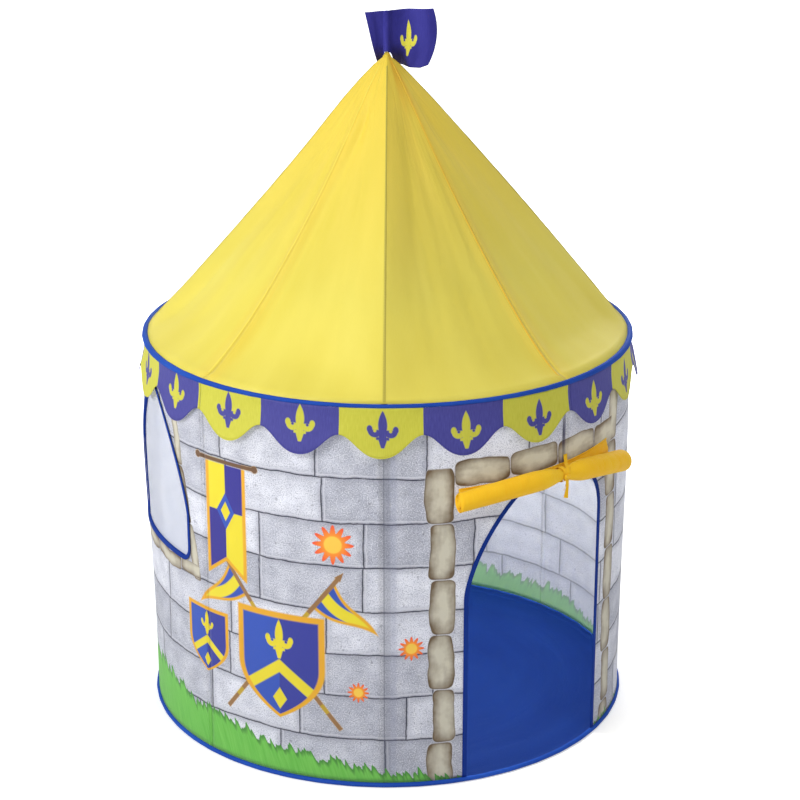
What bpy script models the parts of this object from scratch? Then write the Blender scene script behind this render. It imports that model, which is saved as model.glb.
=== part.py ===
"""A children's play tent shaped like a round castle tower with a pointed roof.

Two hoops of bent rod, one at the floor and one at the eave, keep the cloth round.
Four poles stand in sleeves on the inside of the walls. Four more run from elbows at
the eave to a hub under the peak. A flag turns on a short stick in that hub. The
doorway's curtain is rolled up, tied, and slides down the wall to close the doorway.

Metres, +Z up. The origin is on the tower's axis, on the ground. The tent's front, with
azimuth 0, faces -Y, and azimuths grow towards +X.
"""

import math

import bmesh
import bpy
from mathutils import Vector

# Driving dimensions

wall_radius = 0.500
eave_height = 0.800
roof_rise = 0.566
cloth = 0.0015
gap = 0.0003
seam_gap = 0.0004

# Hoops and the tape tubes that hold them

tape_tube_radius = 0.0046
tape_tube_wall = 0.0009
tape_tube_offset = 0.001
tape_mouth_angle = 45.0
hoop_rod_radius = 0.0019
hoop_ferrule_radius = 0.0031
hoop_ferrule_bore_radius = 0.0023
hoop_ferrule_length = 0.060
hoop_end_gap = 0.002

# Poles, which are the same rod in the walls and in the roof

pole_radius = 0.004
pole_inset = 0.014
pole_bore_radius = 0.0046
socket_radius = 0.0058
ferrule_length = 0.060
lower_pole_top = 0.400
sleeve_channel_radius = 0.0066
sleeve_wall = 0.001
sleeve_flange_width = 0.0105
sleeve_flange_gap = 0.0012
elbow_leg = 0.032
elbow_bend = 0.010

# Roof

peak_radius = 0.0075
roof_bow = 0.020
roof_edge_inset = 0.0037
roof_edge_rise = 0.0036
roof_pole_depth = 0.0095
flatness_share = 0.85
flatness_power = 0.45

# Hub and flag

hub_radius = 0.019
hub_height = 0.024
hub_neck_radius = 0.0105
hub_top_below_peak = 0.014
hub_socket_inner = 0.012
hub_socket_outer = 0.063
hub_pole_stop = 0.036
stick_radius = 0.003
stick_bore_radius = 0.0034
stick_seat_depth = 0.016
stick_above_peak = 0.0862
flag_cloth = 0.0012
flag_pocket_radius = 0.0048
flag_pocket_bore_radius = 0.0036
flag_pocket_cap = 0.002
flag_peak_gap = 0.0045
flag_luff = 0.044
flag_luff_cut = 0.024
flag_fly = 0.092
flag_fly_cut = 0.010
flag_fly_bulge = 0.012
flag_drop = 0.113
flag_straight_drop = 0.077
flag_top_slope = 0.0055
flag_wave = 0.009
flag_wave_length = 0.120

# The flag's lower edge: shares of its reach from the stick, then of its drop
flag_edge_shares = (
    (-1.0, 0.98),
    (-0.5, 1.0),
    (-0.16, 0.74),
    (0.05, 0.74),
    (0.28, 1.0),
    (0.8, 0.99),
    (1.0, 0.93),
)

# Valance, a skirt of round-ended lappets under the eave

lappet_count = 20
valance_gap = 0.0008
valance_flare = 0.009
valance_billow = 0.002
flare_power = 1.5
notch_drop = 0.051
lobe_drop = 0.096

# Doorway and its curtain, whose heights are drops below the eave

door_left_azimuth = 18.9
door_right_azimuth = 58.0
door_top_drop = 0.184
door_right_top_drop = 0.204
door_left_shoulder_width = 0.150
door_left_shoulder_height = 0.220
door_right_shoulder_width = 0.072
door_right_shoulder_height = 0.095
shoulder_power = 1.5
curtain_seam_drop = 0.155
curtain_side_inset = 0.006
curtain_lower_edge_drop = 0.198
curtain_stand_off = 0.0052
roll_radius = 0.0205
roll_far_radius = 0.0175
roll_tie_radius = 0.0135
roll_tie_width = 0.030
roll_start_azimuth = 15.5
roll_end_azimuth = 65.0
roll_start_drop = 0.190
roll_end_drop = 0.202
roll_rise = 0.0245
roll_lap = 0.0012
tie_azimuth = 39.5
tie_width = 0.010
tie_thickness = 0.0008
tie_sewn_drop = 0.132
tie_tail = 0.034

# Window, whose top is a drop below the eave too

window_azimuth = -69.4
window_width = 0.302
window_top_drop = 0.062
window_arch_rise = 0.238
window_side_height = 0.091
window_corner_radius = 0.020
arch_power = 1.35
net_cloth = 0.0008
net_margin = 0.006

# Edge tape, folded over a cut edge of the wall

edge_tape_width = 0.009
edge_tape_cloth = 0.001
edge_tape_gap = 0.0004

# How finely curves are divided

ring_segments = 48
wall_column_count = 36
crease_angle = 14.0
roof_column_count = 12
roof_row_count = 8
lappet_column_count = 6
valance_row_count = 2
tape_tube_steps = 6
rod_sides = 6
tube_sides = 10
stick_sides = 12
hub_sides = 20
sleeve_steps = 5
elbow_steps = 3
corner_steps = 3
curtain_column_count = 20
curtain_row_count = 4
net_column_count = 14
net_row_count = 3
flag_column_count = 14
flag_row_count = 7
halvings = 40
ridge_step_share = 0.001
cutter_reach_share = 0.3
shoulder_steps = 9
arch_steps = 9
longest_chord = 0.020
roll_steps = 17
roll_sides = 12
roof_pole_steps = 8

quarter = 90.0
side_azimuths = {"front": 0.0, "right": 90.0, "back": 180.0, "left": 270.0}
hoop_joint_azimuth = 135.0

# Worked out from the sizes above

hoop_radius = wall_radius + tape_tube_offset
floor_hoop_height = tape_tube_radius
wall_bottom = floor_hoop_height + tape_tube_radius + gap
wall_top = eave_height - tape_tube_radius - gap
wall_inner_radius = wall_radius - cloth
peak_height = eave_height + roof_rise
door_height = eave_height - door_top_drop
door_right_height = eave_height - door_right_top_drop
curtain_seam_height = eave_height - curtain_seam_drop
curtain_lower_edge_height = eave_height - curtain_lower_edge_drop
roll_start_height = eave_height - roll_start_drop
roll_end_height = eave_height - roll_end_drop
tie_sewn_height = eave_height - tie_sewn_drop
window_top_height = eave_height - window_top_drop
window_spring_height = window_top_height - window_arch_rise
window_sill_height = window_spring_height - window_side_height
floor_radius = hoop_radius - tape_tube_radius * math.cos(math.radians(tape_mouth_angle))
pole_line_radius = wall_radius - pole_inset
roof_base_radius = hoop_radius - roof_edge_inset
roof_base_height = eave_height + roof_edge_rise
lappet_angle = 360.0 / lappet_count
roll_line_radius = wall_radius + curtain_stand_off + cloth + gap + roll_radius
stick_top = peak_height + stick_above_peak
flag_top = stick_top + gap + flag_pocket_cap


def around(radius, azimuth, height):
    """The point at this radius and azimuth, in degrees from the front, and height."""
    turn = math.radians(azimuth)
    return Vector((radius * math.sin(turn), -radius * math.cos(turn), height))


def degrees_along(length, radius=wall_radius):
    """The azimuth that an arc of this length covers."""
    return math.degrees(length / radius)


# Materials


def finish(name, colour, roughness, metallic=0.0):
    material = bpy.data.materials.new(name)
    material.use_nodes = True
    shader = material.node_tree.nodes["Principled BSDF"]
    shader.inputs["Base Color"].default_value = (*colour, 1.0)
    shader.inputs["Roughness"].default_value = roughness
    shader.inputs["Metallic"].default_value = metallic
    return material


def clear_scene():
    for obj in list(bpy.data.objects):
        bpy.data.objects.remove(obj, do_unlink=True)


clear_scene()
stone_cloth = finish("stone_print_cloth", (0.62, 0.62, 0.68), 0.75)
roof_cloth = finish("yellow_roof_cloth", (0.92, 0.78, 0.10), 0.6)
floor_cloth = finish("blue_floor_cloth", (0.03, 0.09, 0.40), 0.6)
tape_cloth = finish("blue_edge_tape", (0.04, 0.11, 0.50), 0.7)
valance_cloth = finish("valance_cloth", (0.13, 0.10, 0.42), 0.65)
flag_fabric = finish("flag_cloth", (0.08, 0.06, 0.36), 0.6)
curtain_cloth = finish("orange_curtain_cloth", (0.95, 0.50, 0.03), 0.6)
net_fabric = finish("white_window_net", (0.85, 0.86, 0.88), 0.8)
sleeve_cloth = finish("grey_sleeve_cloth", (0.45, 0.47, 0.58), 0.75)
pole_plastic = finish("pale_pole_plastic", (0.80, 0.82, 0.86), 0.4)
black_plastic = finish("black_joint_plastic", (0.03, 0.03, 0.035), 0.5)
rod_steel = finish("hoop_spring_steel", (0.55, 0.56, 0.58), 0.35, 1.0)


# Shape helpers


def add_object(name, mesh, material, sharp_angle=35.0):
    obj = bpy.data.objects.new(name, mesh)
    mesh.materials.append(material)
    mesh.shade_smooth()
    mesh.set_sharp_from_angle(angle=math.radians(sharp_angle))
    bpy.context.scene.collection.objects.link(obj)
    return obj


def mesh_from(name, bm, tidy_normals=True):
    if tidy_normals:
        bmesh.ops.recalc_face_normals(bm, faces=bm.faces)
    mesh = bpy.data.meshes.new(name)
    bm.to_mesh(mesh)
    bm.free()
    return mesh


def loft(name, rings, material, closed=False):
    """A solid skinned over rings of points. A closed one runs back to its first ring."""
    bm = bmesh.new()
    loops = [[bm.verts.new(point) for point in ring] for ring in rings]
    pairs = list(zip(loops, loops[1:]))
    if closed:
        pairs.append((loops[-1], loops[0]))
    for first, second in pairs:
        for i in range(len(first)):
            after = (i + 1) % len(first)
            bm.faces.new((first[i], first[after], second[after], second[i]))
    if not closed:
        bm.faces.new(loops[0])
        bm.faces.new(loops[-1])
    return add_object(name, mesh_from(name, bm), material)


def sheet(name, columns, rows, place, thickness, material, sharp_angle=35.0):
    """A cloth sheet: place gives its outer face from shares of its width and height."""
    bm = bmesh.new()
    bmesh.ops.create_grid(bm, x_segments=columns, y_segments=rows, size=1.0)
    for vert in bm.verts:
        vert.co = place((vert.co.x + 1) / 2, (vert.co.y + 1) / 2)
    obj = add_object(name, mesh_from(name, bm, tidy_normals=False), material, sharp_angle)
    shell = obj.modifiers.new("thickness", "SOLIDIFY")
    shell.thickness = thickness
    shell.offset = -1
    shell.use_even_offset = True
    return obj


def rod(name, points, radius, material):
    """A solid round rod through the points."""
    curve = bpy.data.curves.new(name, "CURVE")
    curve.dimensions = "3D"
    curve.bevel_depth = radius
    curve.bevel_resolution = 2
    curve.use_fill_caps = True
    spline = curve.splines.new("POLY")
    spline.points.add(len(points) - 1)
    for place, point in zip(spline.points, points):
        place.co = (*point, 1)
    curve.materials.append(material)
    obj = bpy.data.objects.new(name, curve)
    bpy.context.scene.collection.objects.link(obj)
    return obj


def tube(name, points, radius, bore, material, sides=tube_sides):
    """An open tube through the points, which lie in an upright plane through the axis."""
    side = Vector((0, 0, 1)).cross(points[0] + points[-1]).normalized()
    ends = [points[0] * 2 - points[1], *points, points[-1] * 2 - points[-2]]
    turns = [math.pi * (2 * i + 1) / sides for i in range(sides)]
    bm = bmesh.new()
    walls = []
    for size in (radius, bore):
        wall = []
        for before, here, after in zip(ends, points, ends[2:]):
            across = (after - before).normalized().cross(side)
            ring = [here + size * (side * math.cos(turn) + across * math.sin(turn)) for turn in turns]
            wall.append([bm.verts.new(point) for point in ring])
        walls.append(wall)
    path = [*walls[0], *reversed(walls[1])]
    for first, second in zip(path, [*path[1:], path[0]]):
        for i in range(sides):
            after = (i + 1) % sides
            bm.faces.new((first[i], first[after], second[after], second[i]))
    return add_object(name, mesh_from(name, bm), material)


def cutter(name, mesh):
    obj = bpy.data.objects.new(name, mesh)
    obj.hide_render = True
    obj.display_type = "WIRE"
    bpy.context.scene.collection.objects.link(obj)
    return obj


def combine(obj, other, operation="DIFFERENCE"):
    step = obj.modifiers.new(other.name, "BOOLEAN")
    step.operation = operation
    step.solver = "EXACT"
    step.object = other


def cylinder_mesh(name, start, end, start_radius, end_radius, sides):
    """A closed cylinder or cone from one point to another."""
    along = end - start
    turn = Vector((0, 0, 1)).rotation_difference(along).to_matrix().to_4x4()
    turn.translation = (start + end) / 2
    bm = bmesh.new()
    radii = {"radius1": start_radius, "radius2": end_radius}
    bmesh.ops.create_cone(bm, cap_ends=True, segments=sides, depth=along.length, matrix=turn, **radii)
    return mesh_from(name, bm)


def turned(obj, side):
    """The object, made for the front, turned round the tower to its own side."""
    obj.rotation_euler.z = math.radians(side_azimuths[side])
    return obj


def ring_point(radius, azimuth, height):
    """A point on a ring made of straight segments, so that what lies in it stays in line."""
    step = 360.0 / ring_segments
    within = (azimuth % step) - step / 2
    flat = math.cos(math.radians(step / 2)) / math.cos(math.radians(within))
    return around(radius * flat, azimuth, height)


def ring_sections(section, azimuths):
    """The section's points, each an outward and an upward distance, at each azimuth."""
    return [[ring_point(radius, azimuth, height) for radius, height in section] for azimuth in azimuths]


def circle_section(radius, height, size, sides):
    turns = [2 * math.pi * i / sides for i in range(sides)]
    return [(radius + size * math.cos(turn), height + size * math.sin(turn)) for turn in turns]


# Floor and eave rings


def tape_tube(name, height):
    """Tape folded round a hoop, open towards the axis, where the cloths are sewn in."""
    turn = 180 - tape_mouth_angle
    turns = [math.radians(turn - 2 * turn * i / tape_tube_steps) for i in range(tape_tube_steps + 1)]
    section = []
    for size, order in ((tape_tube_radius, turns), (tape_tube_radius - tape_tube_wall, turns[::-1])):
        section += [(hoop_radius + size * math.cos(a), height + size * math.sin(a)) for a in order]
    azimuths = [360.0 * i / ring_segments for i in range(ring_segments)]
    loft(name, ring_sections(section, azimuths), tape_cloth, closed=True)


def hoop(name, height):
    """A rod bent round until its two ends meet at a seam at the back."""
    end = degrees_along(hoop_end_gap / 2, hoop_radius)
    steps = [360.0 * i / ring_segments for i in range(1, ring_segments)]
    azimuths = [hoop_joint_azimuth + turn for turn in (end, *steps, 360.0 - end)]
    section = circle_section(hoop_radius, height, hoop_rod_radius, rod_sides)
    loft(name, ring_sections(section, azimuths), rod_steel)


def hoop_ferrule(name, height):
    """The tube over the hoop's two ends."""
    end = degrees_along(hoop_ferrule_length / 2, hoop_radius)
    azimuths = (hoop_joint_azimuth - end, hoop_joint_azimuth, hoop_joint_azimuth + end)
    shells = [
        ring_sections(circle_section(hoop_radius, height, size, rod_sides), azimuths)
        for size in (hoop_ferrule_radius, hoop_ferrule_bore_radius)
    ]
    loft(name, shells[0] + shells[1][::-1], rod_steel, closed=True)


def floor_sheet():
    bm = bmesh.new()
    turn = math.radians(360.0 / ring_segments)
    rim = [around(floor_radius, math.degrees(turn * i), 0) for i in range(ring_segments)]
    face = bm.faces.new([bm.verts.new(point) for point in rim])
    grown = bmesh.ops.extrude_face_region(bm, geom=[face])
    lifted = [item for item in grown["geom"] if isinstance(item, bmesh.types.BMVert)]
    bmesh.ops.translate(bm, verts=lifted, vec=(0, 0, cloth))
    add_object("floor_sheet", mesh_from("floor_sheet", bm), floor_cloth)


floor_sheet()
hoop("floor_hoop", floor_hoop_height)
hoop_ferrule("floor_hoop_ferrule", floor_hoop_height)
tape_tube("floor_hoop_tape", floor_hoop_height)
hoop("eave_hoop", eave_height)
hoop_ferrule("eave_hoop_ferrule", eave_height)
tape_tube("eave_hoop_tape", eave_height)


# Outlines of the doorway and the window, as distances round the wall and heights


def shoulder(start, top, width, height, power):
    """A round shoulder from the doorway's upright edge at start to its top, width further on."""
    points = []
    for i in range(shoulder_steps + 1):
        turn = math.pi / 2 * i / shoulder_steps
        across = 1 - math.cos(turn) ** (2 / power)
        up = math.sin(turn) ** (2 / power)
        points.append((start + width * across, top - height * (1 - up)))
    return points


def door_outline(bottom):
    """From the foot of the left edge, over the top, to the foot of the right edge."""
    left = wall_radius * math.radians(door_left_azimuth)
    right = wall_radius * math.radians(door_right_azimuth)
    outline = [(left, bottom)]
    width, height = door_left_shoulder_width, door_left_shoulder_height
    outline += shoulder(left, door_height, width, height, shoulder_power)
    width, height = door_right_shoulder_width, door_right_shoulder_height
    outline += shoulder(right, door_right_height, -width, height, 2)[::-1]
    outline.append((right, bottom))
    return divided(outline, closed=False)


def window_outline():
    """Round the window from its left spring point, over the pointed top and the sill."""
    centre = wall_radius * math.radians(window_azimuth)
    half = window_width / 2
    arch = []
    for i in range(arch_steps):
        turn = math.pi / 2 * i / arch_steps
        across = math.cos(turn) ** (2 / arch_power)
        up = math.sin(turn) ** (2 / arch_power)
        arch.append((across * half, window_spring_height + window_arch_rise * up))
    corner = []
    for i in range(corner_steps + 1):
        turn = math.pi / 2 * i / corner_steps
        inset = window_corner_radius * (1 - math.sin(turn))
        lift = window_corner_radius * (1 - math.cos(turn))
        corner.append((half - inset, window_sill_height + lift))
    left = [(centre - x, z) for x, z in arch]
    right = [(centre + x, z) for x, z in arch[::-1]]
    sill_right = [(centre + x, z) for x, z in corner[::-1]]
    sill_left = [(centre - x, z) for x, z in corner]
    return divided(left + [(centre, window_top_height)] + right + sill_right + sill_left, closed=True)


def divided(outline, closed):
    """The same outline with its long stretches divided, so that it follows the round wall."""
    points = []
    ends = [*outline[1:], outline[0]] if closed else outline[1:]
    for start, end in zip(outline, ends):
        count = max(1, math.ceil(abs(end[0] - start[0]) / longest_chord))
        for i in range(count):
            share = i / count
            points.append((start[0] + (end[0] - start[0]) * share, start[1] + (end[1] - start[1]) * share))
    return points if closed else [*points, outline[-1]]


def outward_offsets(outline, closed):
    """For each point, the unit step away from the opening, lengthened at a corner."""
    count = len(outline)
    offsets = []
    for i, here in enumerate(outline):
        before = outline[i - 1] if closed or i else outline[0]
        after = outline[(i + 1) % count] if closed or i < count - 1 else outline[-1]
        normals = []
        for start, end in ((before, here), (here, after)):
            length = math.hypot(end[0] - start[0], end[1] - start[1])
            if length > 0:
                normals.append((-(end[1] - start[1]) / length, (end[0] - start[0]) / length))
        x = sum(n[0] for n in normals) / len(normals)
        z = sum(n[1] for n in normals) / len(normals)
        size = x * x + z * z
        offsets.append((x / size, z / size))
    return offsets


def moved_outline(outline, distance, closed):
    steps = outward_offsets(outline, closed)
    return [(s + distance * ds, z + distance * dz) for (s, z), (ds, dz) in zip(outline, steps)]


def edge_tape(name, outline, closed):
    """Tape folded over the cut edge: a web in the opening and a leg on each face."""
    face = edge_tape_gap
    legs = (
        (0, face + edge_tape_cloth),
        (edge_tape_width, face + edge_tape_cloth),
        (edge_tape_width, face),
        (edge_tape_cloth, face),
        (edge_tape_cloth, -cloth - face),
        (edge_tape_width, -cloth - face),
        (edge_tape_width, -cloth - face - edge_tape_cloth),
        (0, -cloth - face - edge_tape_cloth),
    )
    rings = []
    for (s, z), (ds, dz) in zip(outline, outward_offsets(outline, closed)):
        ring = []
        for along, out in legs:
            azimuth = math.degrees((s + along * ds) / wall_radius)
            ring.append(around(wall_radius + out, azimuth, z + along * dz))
        rings.append(ring)
    loft(name, rings, tape_cloth, closed=closed)


def opening_cutter(name, outline, centre_azimuth):
    """A straight prism through the wall, square to it at the middle of the opening."""
    out = around(1.0, centre_azimuth, 0)
    across = Vector((0, 0, 1)).cross(out)
    half_depth = wall_radius * cutter_reach_share
    bm = bmesh.new()
    near = []
    for s, z in outline:
        turn = s / wall_radius - math.radians(centre_azimuth)
        place = across * (wall_radius * math.sin(turn)) + out * (wall_radius - half_depth)
        near.append(bm.verts.new((place.x, place.y, z)))
    face = bm.faces.new(near)
    grown = bmesh.ops.extrude_face_region(bm, geom=[face])
    moved = [item for item in grown["geom"] if isinstance(item, bmesh.types.BMVert)]
    bmesh.ops.translate(bm, verts=moved, vec=out * (2 * half_depth))
    return cutter(name, mesh_from(name, bm))


edge_inset = edge_tape_cloth + edge_tape_gap
door_middle_azimuth = (door_left_azimuth + door_right_azimuth) / 2
door_hole = moved_outline(door_outline(-wall_bottom), edge_inset, closed=False)
door_cutter = opening_cutter("door_cutter", door_hole, door_middle_azimuth)
window_hole = moved_outline(window_outline(), edge_inset, closed=True)
window_cutter = opening_cutter("window_cutter", window_hole, window_azimuth)


# Walls


def wall_panel(side):
    """A quarter of the wall, between two upright seams, with a pole at its middle."""
    half = quarter / 2 - degrees_along(seam_gap / 2)

    def place(u, v):
        return around(wall_radius, half * (2 * u - 1), wall_bottom + (wall_top - wall_bottom) * v)

    return turned(sheet("wall_panel_" + side, wall_column_count, 1, place, cloth, stone_cloth), side)


panels = {side: wall_panel(side) for side in side_azimuths}
combine(panels["front"], door_cutter)
combine(panels["right"], door_cutter)
combine(panels["left"], window_cutter)
edge_tape("door_edge_tape", door_outline(wall_bottom), closed=False)
edge_tape("window_edge_tape", window_outline(), closed=True)


def window_top_at(across):
    """The height of the window's arch at this distance from its middle."""
    share = min(abs(across) / (window_width / 2), 1)
    return window_spring_height + window_arch_rise * (1 - share**arch_power) ** (1 / arch_power)


def window_net():
    """Fine net sewn on the inside, over the whole opening."""
    half = window_width / 2 + net_margin
    radius = wall_radius - cloth - edge_tape_gap - edge_tape_cloth - gap

    def place(u, v):
        across = half * math.sin(math.pi * (u - 1 / 2))
        low = window_sill_height - net_margin
        high = window_top_at(across) + net_margin
        azimuth = window_azimuth + degrees_along(across)
        return around(radius, azimuth, low + (high - low) * v)

    sheet("window_net", net_column_count, net_row_count, place, net_cloth, net_fabric)


window_net()


# Roof


def ridge(share):
    """Radius and height of the roof over a pole, from the eave at 0 to the peak at 1."""
    straight = roof_base_radius + (peak_radius - roof_base_radius) * share
    bowed = straight + 4 * roof_bow * share * (1 - share)
    return bowed, roof_base_height + (peak_height - roof_base_height) * share


def roof_point(azimuth, share):
    """The cloth is round at the eave and almost four-sided above, creased over each pole."""
    radius, height = ridge(share)
    from_pole = azimuth % quarter
    half = math.radians(quarter / 2)
    four_sided = math.cos(half) / math.cos(math.radians(from_pole) - half)
    flat = flatness_share * share**flatness_power
    return around(radius * (1 - flat * (1 - four_sided)), azimuth, height)


def roof_gore(side):
    """A quarter of the roof, between two seams, with a pole under its middle."""

    def place(u, v):
        seam_radius = ridge(v)[0] * math.cos(math.radians(quarter / 2))
        half = quarter / 2 - degrees_along(seam_gap / 2, seam_radius)
        return roof_point(half * (2 * u - 1), v)

    counts = (roof_column_count, roof_row_count)
    turned(sheet("roof_gore_" + side, *counts, place, cloth, roof_cloth, crease_angle), side)


def roof_pole_place(share):
    """Radius and height of the middle of the roof pole, under the ridge."""
    radius, height = ridge(share)
    radius_after, height_after = ridge(share + ridge_step_share)
    run = radius_after - radius
    climb = height_after - height
    length = math.hypot(run, climb)
    return radius - roof_pole_depth * climb / length, height + roof_pole_depth * run / length


def share_at_pole_radius(radius):
    """How far up the roof its pole's middle is this far from the axis."""
    low, high = 0.0, 1.0
    for _ in range(halvings):
        middle = (low + high) / 2
        if roof_pole_place(middle)[0] > radius:
            low = middle
        else:
            high = middle
    return low


for side in side_azimuths:
    roof_gore(side)


# Poles, their sleeves, ferrules and elbows

floor_top = cloth + gap
elbow_share = share_at_pole_radius(pole_line_radius - elbow_bend / 2)
elbow_end_share = share_at_pole_radius(pole_line_radius - elbow_bend / 2 - elbow_leg / 2)
elbow_turn_height = roof_pole_place(elbow_share)[1] - elbow_bend
elbow_bottom = elbow_turn_height - elbow_leg
hub_stop_share = share_at_pole_radius(hub_pole_stop)


def upright(low, high):
    return [around(pole_line_radius, 0, low), around(pole_line_radius, 0, high)]


def pole_sleeve(side):
    """A cloth channel sewn to the wall by a flange each side, open at its top."""
    sewn = wall_inner_radius - sleeve_flange_gap
    free = sewn - sleeve_wall
    size = sleeve_channel_radius
    outer_size = size + sleeve_wall
    turns = [math.pi * i / sleeve_steps for i in range(sleeve_steps + 1)]
    section = [(sleeve_flange_width, sewn), (sleeve_flange_width, free), (outer_size, free)]
    section += [(outer_size * math.cos(a), pole_line_radius - outer_size * math.sin(a)) for a in turns]
    section += [(-outer_size, free), (-sleeve_flange_width, free)]
    section += [(-sleeve_flange_width, sewn), (-size, sewn)]
    section += [(size * math.cos(a), pole_line_radius - size * math.sin(a)) for a in turns[::-1]]
    section += [(size, sewn)]
    rings = [[Vector((x, -radius, z)) for x, radius in section] for z in (wall_bottom, elbow_bottom - gap)]
    turned(loft("pole_sleeve_" + side, rings, sleeve_cloth), side)


def wall_poles(side):
    lower = rod("lower_wall_pole_" + side, upright(floor_top, lower_pole_top), pole_radius, pole_plastic)
    upper_ends = upright(lower_pole_top + gap, elbow_turn_height)
    upper = rod("upper_wall_pole_" + side, upper_ends, pole_radius, pole_plastic)
    middle = lower_pole_top + gap / 2
    ends = upright(middle - ferrule_length / 2, middle + ferrule_length / 2)
    ferrule = tube("pole_ferrule_" + side, ends, socket_radius, pole_bore_radius, black_plastic)
    for obj in (lower, upper, ferrule):
        turned(obj, side)


def eave_elbow(side):
    """A bent tube that takes the wall pole below and the roof pole above."""
    bend_start = Vector((pole_line_radius, elbow_turn_height))
    bend_end = Vector(roof_pole_place(elbow_share))
    corner = Vector((pole_line_radius, (bend_start.y + bend_end.y) / 2))
    path = [(pole_line_radius, elbow_bottom)]
    for i in range(elbow_steps + 1):
        share = i / elbow_steps
        point = bend_start * (1 - share) ** 2 + corner * 2 * share * (1 - share) + bend_end * share**2
        path.append(tuple(point))
    path.append(roof_pole_place(elbow_end_share))
    points = [around(radius, 0, height) for radius, height in path]
    turned(tube("eave_elbow_" + side, points, socket_radius, pole_bore_radius, black_plastic), side)


def roof_pole(side):
    """A rod that bows outwards from its elbow to the hub."""
    points = []
    for i in range(roof_pole_steps + 1):
        share = elbow_share + (hub_stop_share - elbow_share) * i / roof_pole_steps
        radius, height = roof_pole_place(share)
        points.append(around(radius, 0, height))
    turned(rod("roof_pole_" + side, points, pole_radius, pole_plastic), side)


for side in side_azimuths:
    pole_sleeve(side)
    wall_poles(side)
    eave_elbow(side)
    roof_pole(side)


# Hub under the peak

hub_neck_top = peak_height - hub_top_below_peak
hub_shoulder = roof_pole_place(share_at_pole_radius(hub_radius))[1]
hub_bottom = hub_shoulder - hub_height


def on_roof_pole(radius):
    """The point on the front roof pole's middle line at this distance from the axis."""
    pole_radius_here, height = roof_pole_place(share_at_pole_radius(radius))
    return around(pole_radius_here, 0, height)


def apex_hub():
    """A turned body with a socket for each roof pole and one for the flag's stick."""
    low, shoulder_height, top = (Vector((0, 0, z)) for z in (hub_bottom, hub_shoulder, hub_neck_top))
    body = cylinder_mesh("apex_hub", low, shoulder_height, hub_radius, hub_radius, hub_sides)
    hub = add_object("apex_hub", body, black_plastic)
    neck_foot = shoulder_height - Vector((0, 0, gap))
    neck = cylinder_mesh("hub_neck", neck_foot, top, hub_radius - gap, hub_neck_radius, hub_sides)
    combine(hub, cutter("hub_neck", neck), "UNION")
    root = on_roof_pole(hub_socket_inner)
    mouth = on_roof_pole(hub_socket_outer)
    stop = on_roof_pole(hub_pole_stop - gap - gap)
    beyond = mouth + (mouth - stop) / 2
    bores = []
    for side in side_azimuths:
        socket = cylinder_mesh("socket_" + side, root, mouth, socket_radius, socket_radius, tube_sides)
        combine(hub, turned(cutter("socket_" + side, socket), side), "UNION")
        bore = cylinder_mesh("bore_" + side, stop, beyond, pole_bore_radius, pole_bore_radius, tube_sides)
        bores.append(turned(cutter("bore_" + side, bore), side))
    seat = top - Vector((0, 0, stick_seat_depth + gap))
    above = top + Vector((0, 0, stick_seat_depth))
    bore = cylinder_mesh("stick_bore", seat, above, stick_bore_radius, stick_bore_radius, stick_sides)
    bores.append(cutter("stick_bore", bore))
    for bore in bores:
        combine(hub, bore)


apex_hub()

# Flag

stick_bottom = hub_neck_top - stick_seat_depth
rod("flag_stick", [Vector((0, 0, stick_bottom)), Vector((0, 0, stick_top))], stick_radius, pole_plastic)


def flag_edge_share(across):
    """The lower edge's share of the drop, along straight lines between its points."""
    for (start, first), (end, second) in zip(flag_edge_shares, flag_edge_shares[1:]):
        if across <= end:
            return first + (second - first) * (across - start) / (end - start)
    return flag_edge_shares[-1][1]


def flag():
    """Cloth with a pocket that drops over the stick. Its lower edge leans back over the peak."""

    def place(u, v):
        across = 2 * u - 1
        hang = 1 - v
        if across > 0:
            x = across * (flag_fly - flag_fly_cut * hang + 4 * flag_fly_bulge * hang * (1 - hang))
        else:
            x = across * (flag_luff - flag_luff_cut * hang)
        top = flag_top_slope * x / flag_fly
        low = -flag_drop * flag_edge_share(across)
        height = low + (top - low) * v
        wave = flag_wave * math.sin(2 * math.pi * x / flag_wave_length) * min(abs(x) / flag_luff, 1)
        lean = max(-height - flag_straight_drop, 0)
        return Vector((x, wave + lean - flag_cloth / 2, height))

    obj = sheet("flag", flag_column_count, flag_row_count, place, flag_cloth, flag_fabric)
    obj.location.z = flag_top
    low = Vector((0, 0, peak_height + flag_peak_gap))
    high = Vector((0, 0, flag_top))
    pocket = cylinder_mesh("flag_pocket", low, high, flag_pocket_radius, flag_pocket_radius, stick_sides)
    combine(obj, cutter("flag_pocket", pocket), "UNION")
    low = Vector((0, 0, peak_height))
    high = Vector((0, 0, stick_top + gap))
    bore_radius = flag_pocket_bore_radius
    bore = cylinder_mesh("flag_pocket_bore", low, high, bore_radius, bore_radius, stick_sides)
    combine(obj, cutter("flag_pocket_bore", bore))


flag()


# Valance


def valance(side):
    """Five lappets of the skirt, which hangs from the eave tape over the wall."""
    half = quarter / 2 - degrees_along(seam_gap / 2)
    columns = round(lappet_column_count * lappet_count / len(side_azimuths))

    def place(u, v):
        azimuth = half * (2 * u - 1)
        wave = math.cos(2 * math.pi * azimuth / lappet_angle)
        drop = (notch_drop + lobe_drop) / 2 + (lobe_drop - notch_drop) / 2 * wave
        hang = 1 - v
        flare = valance_flare * hang**flare_power + valance_billow * wave * hang
        return around(wall_radius + valance_gap + cloth + flare, azimuth, wall_top - drop * hang)

    turned(sheet("valance_" + side, columns, valance_row_count, place, cloth, valance_cloth), side)


for side in side_azimuths:
    valance(side)


# Doorway curtain, rolled up under its seam, and the ribbon that ties it



def roll_azimuth(share):
    return roll_start_azimuth + (roll_end_azimuth - roll_start_azimuth) * share


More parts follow.
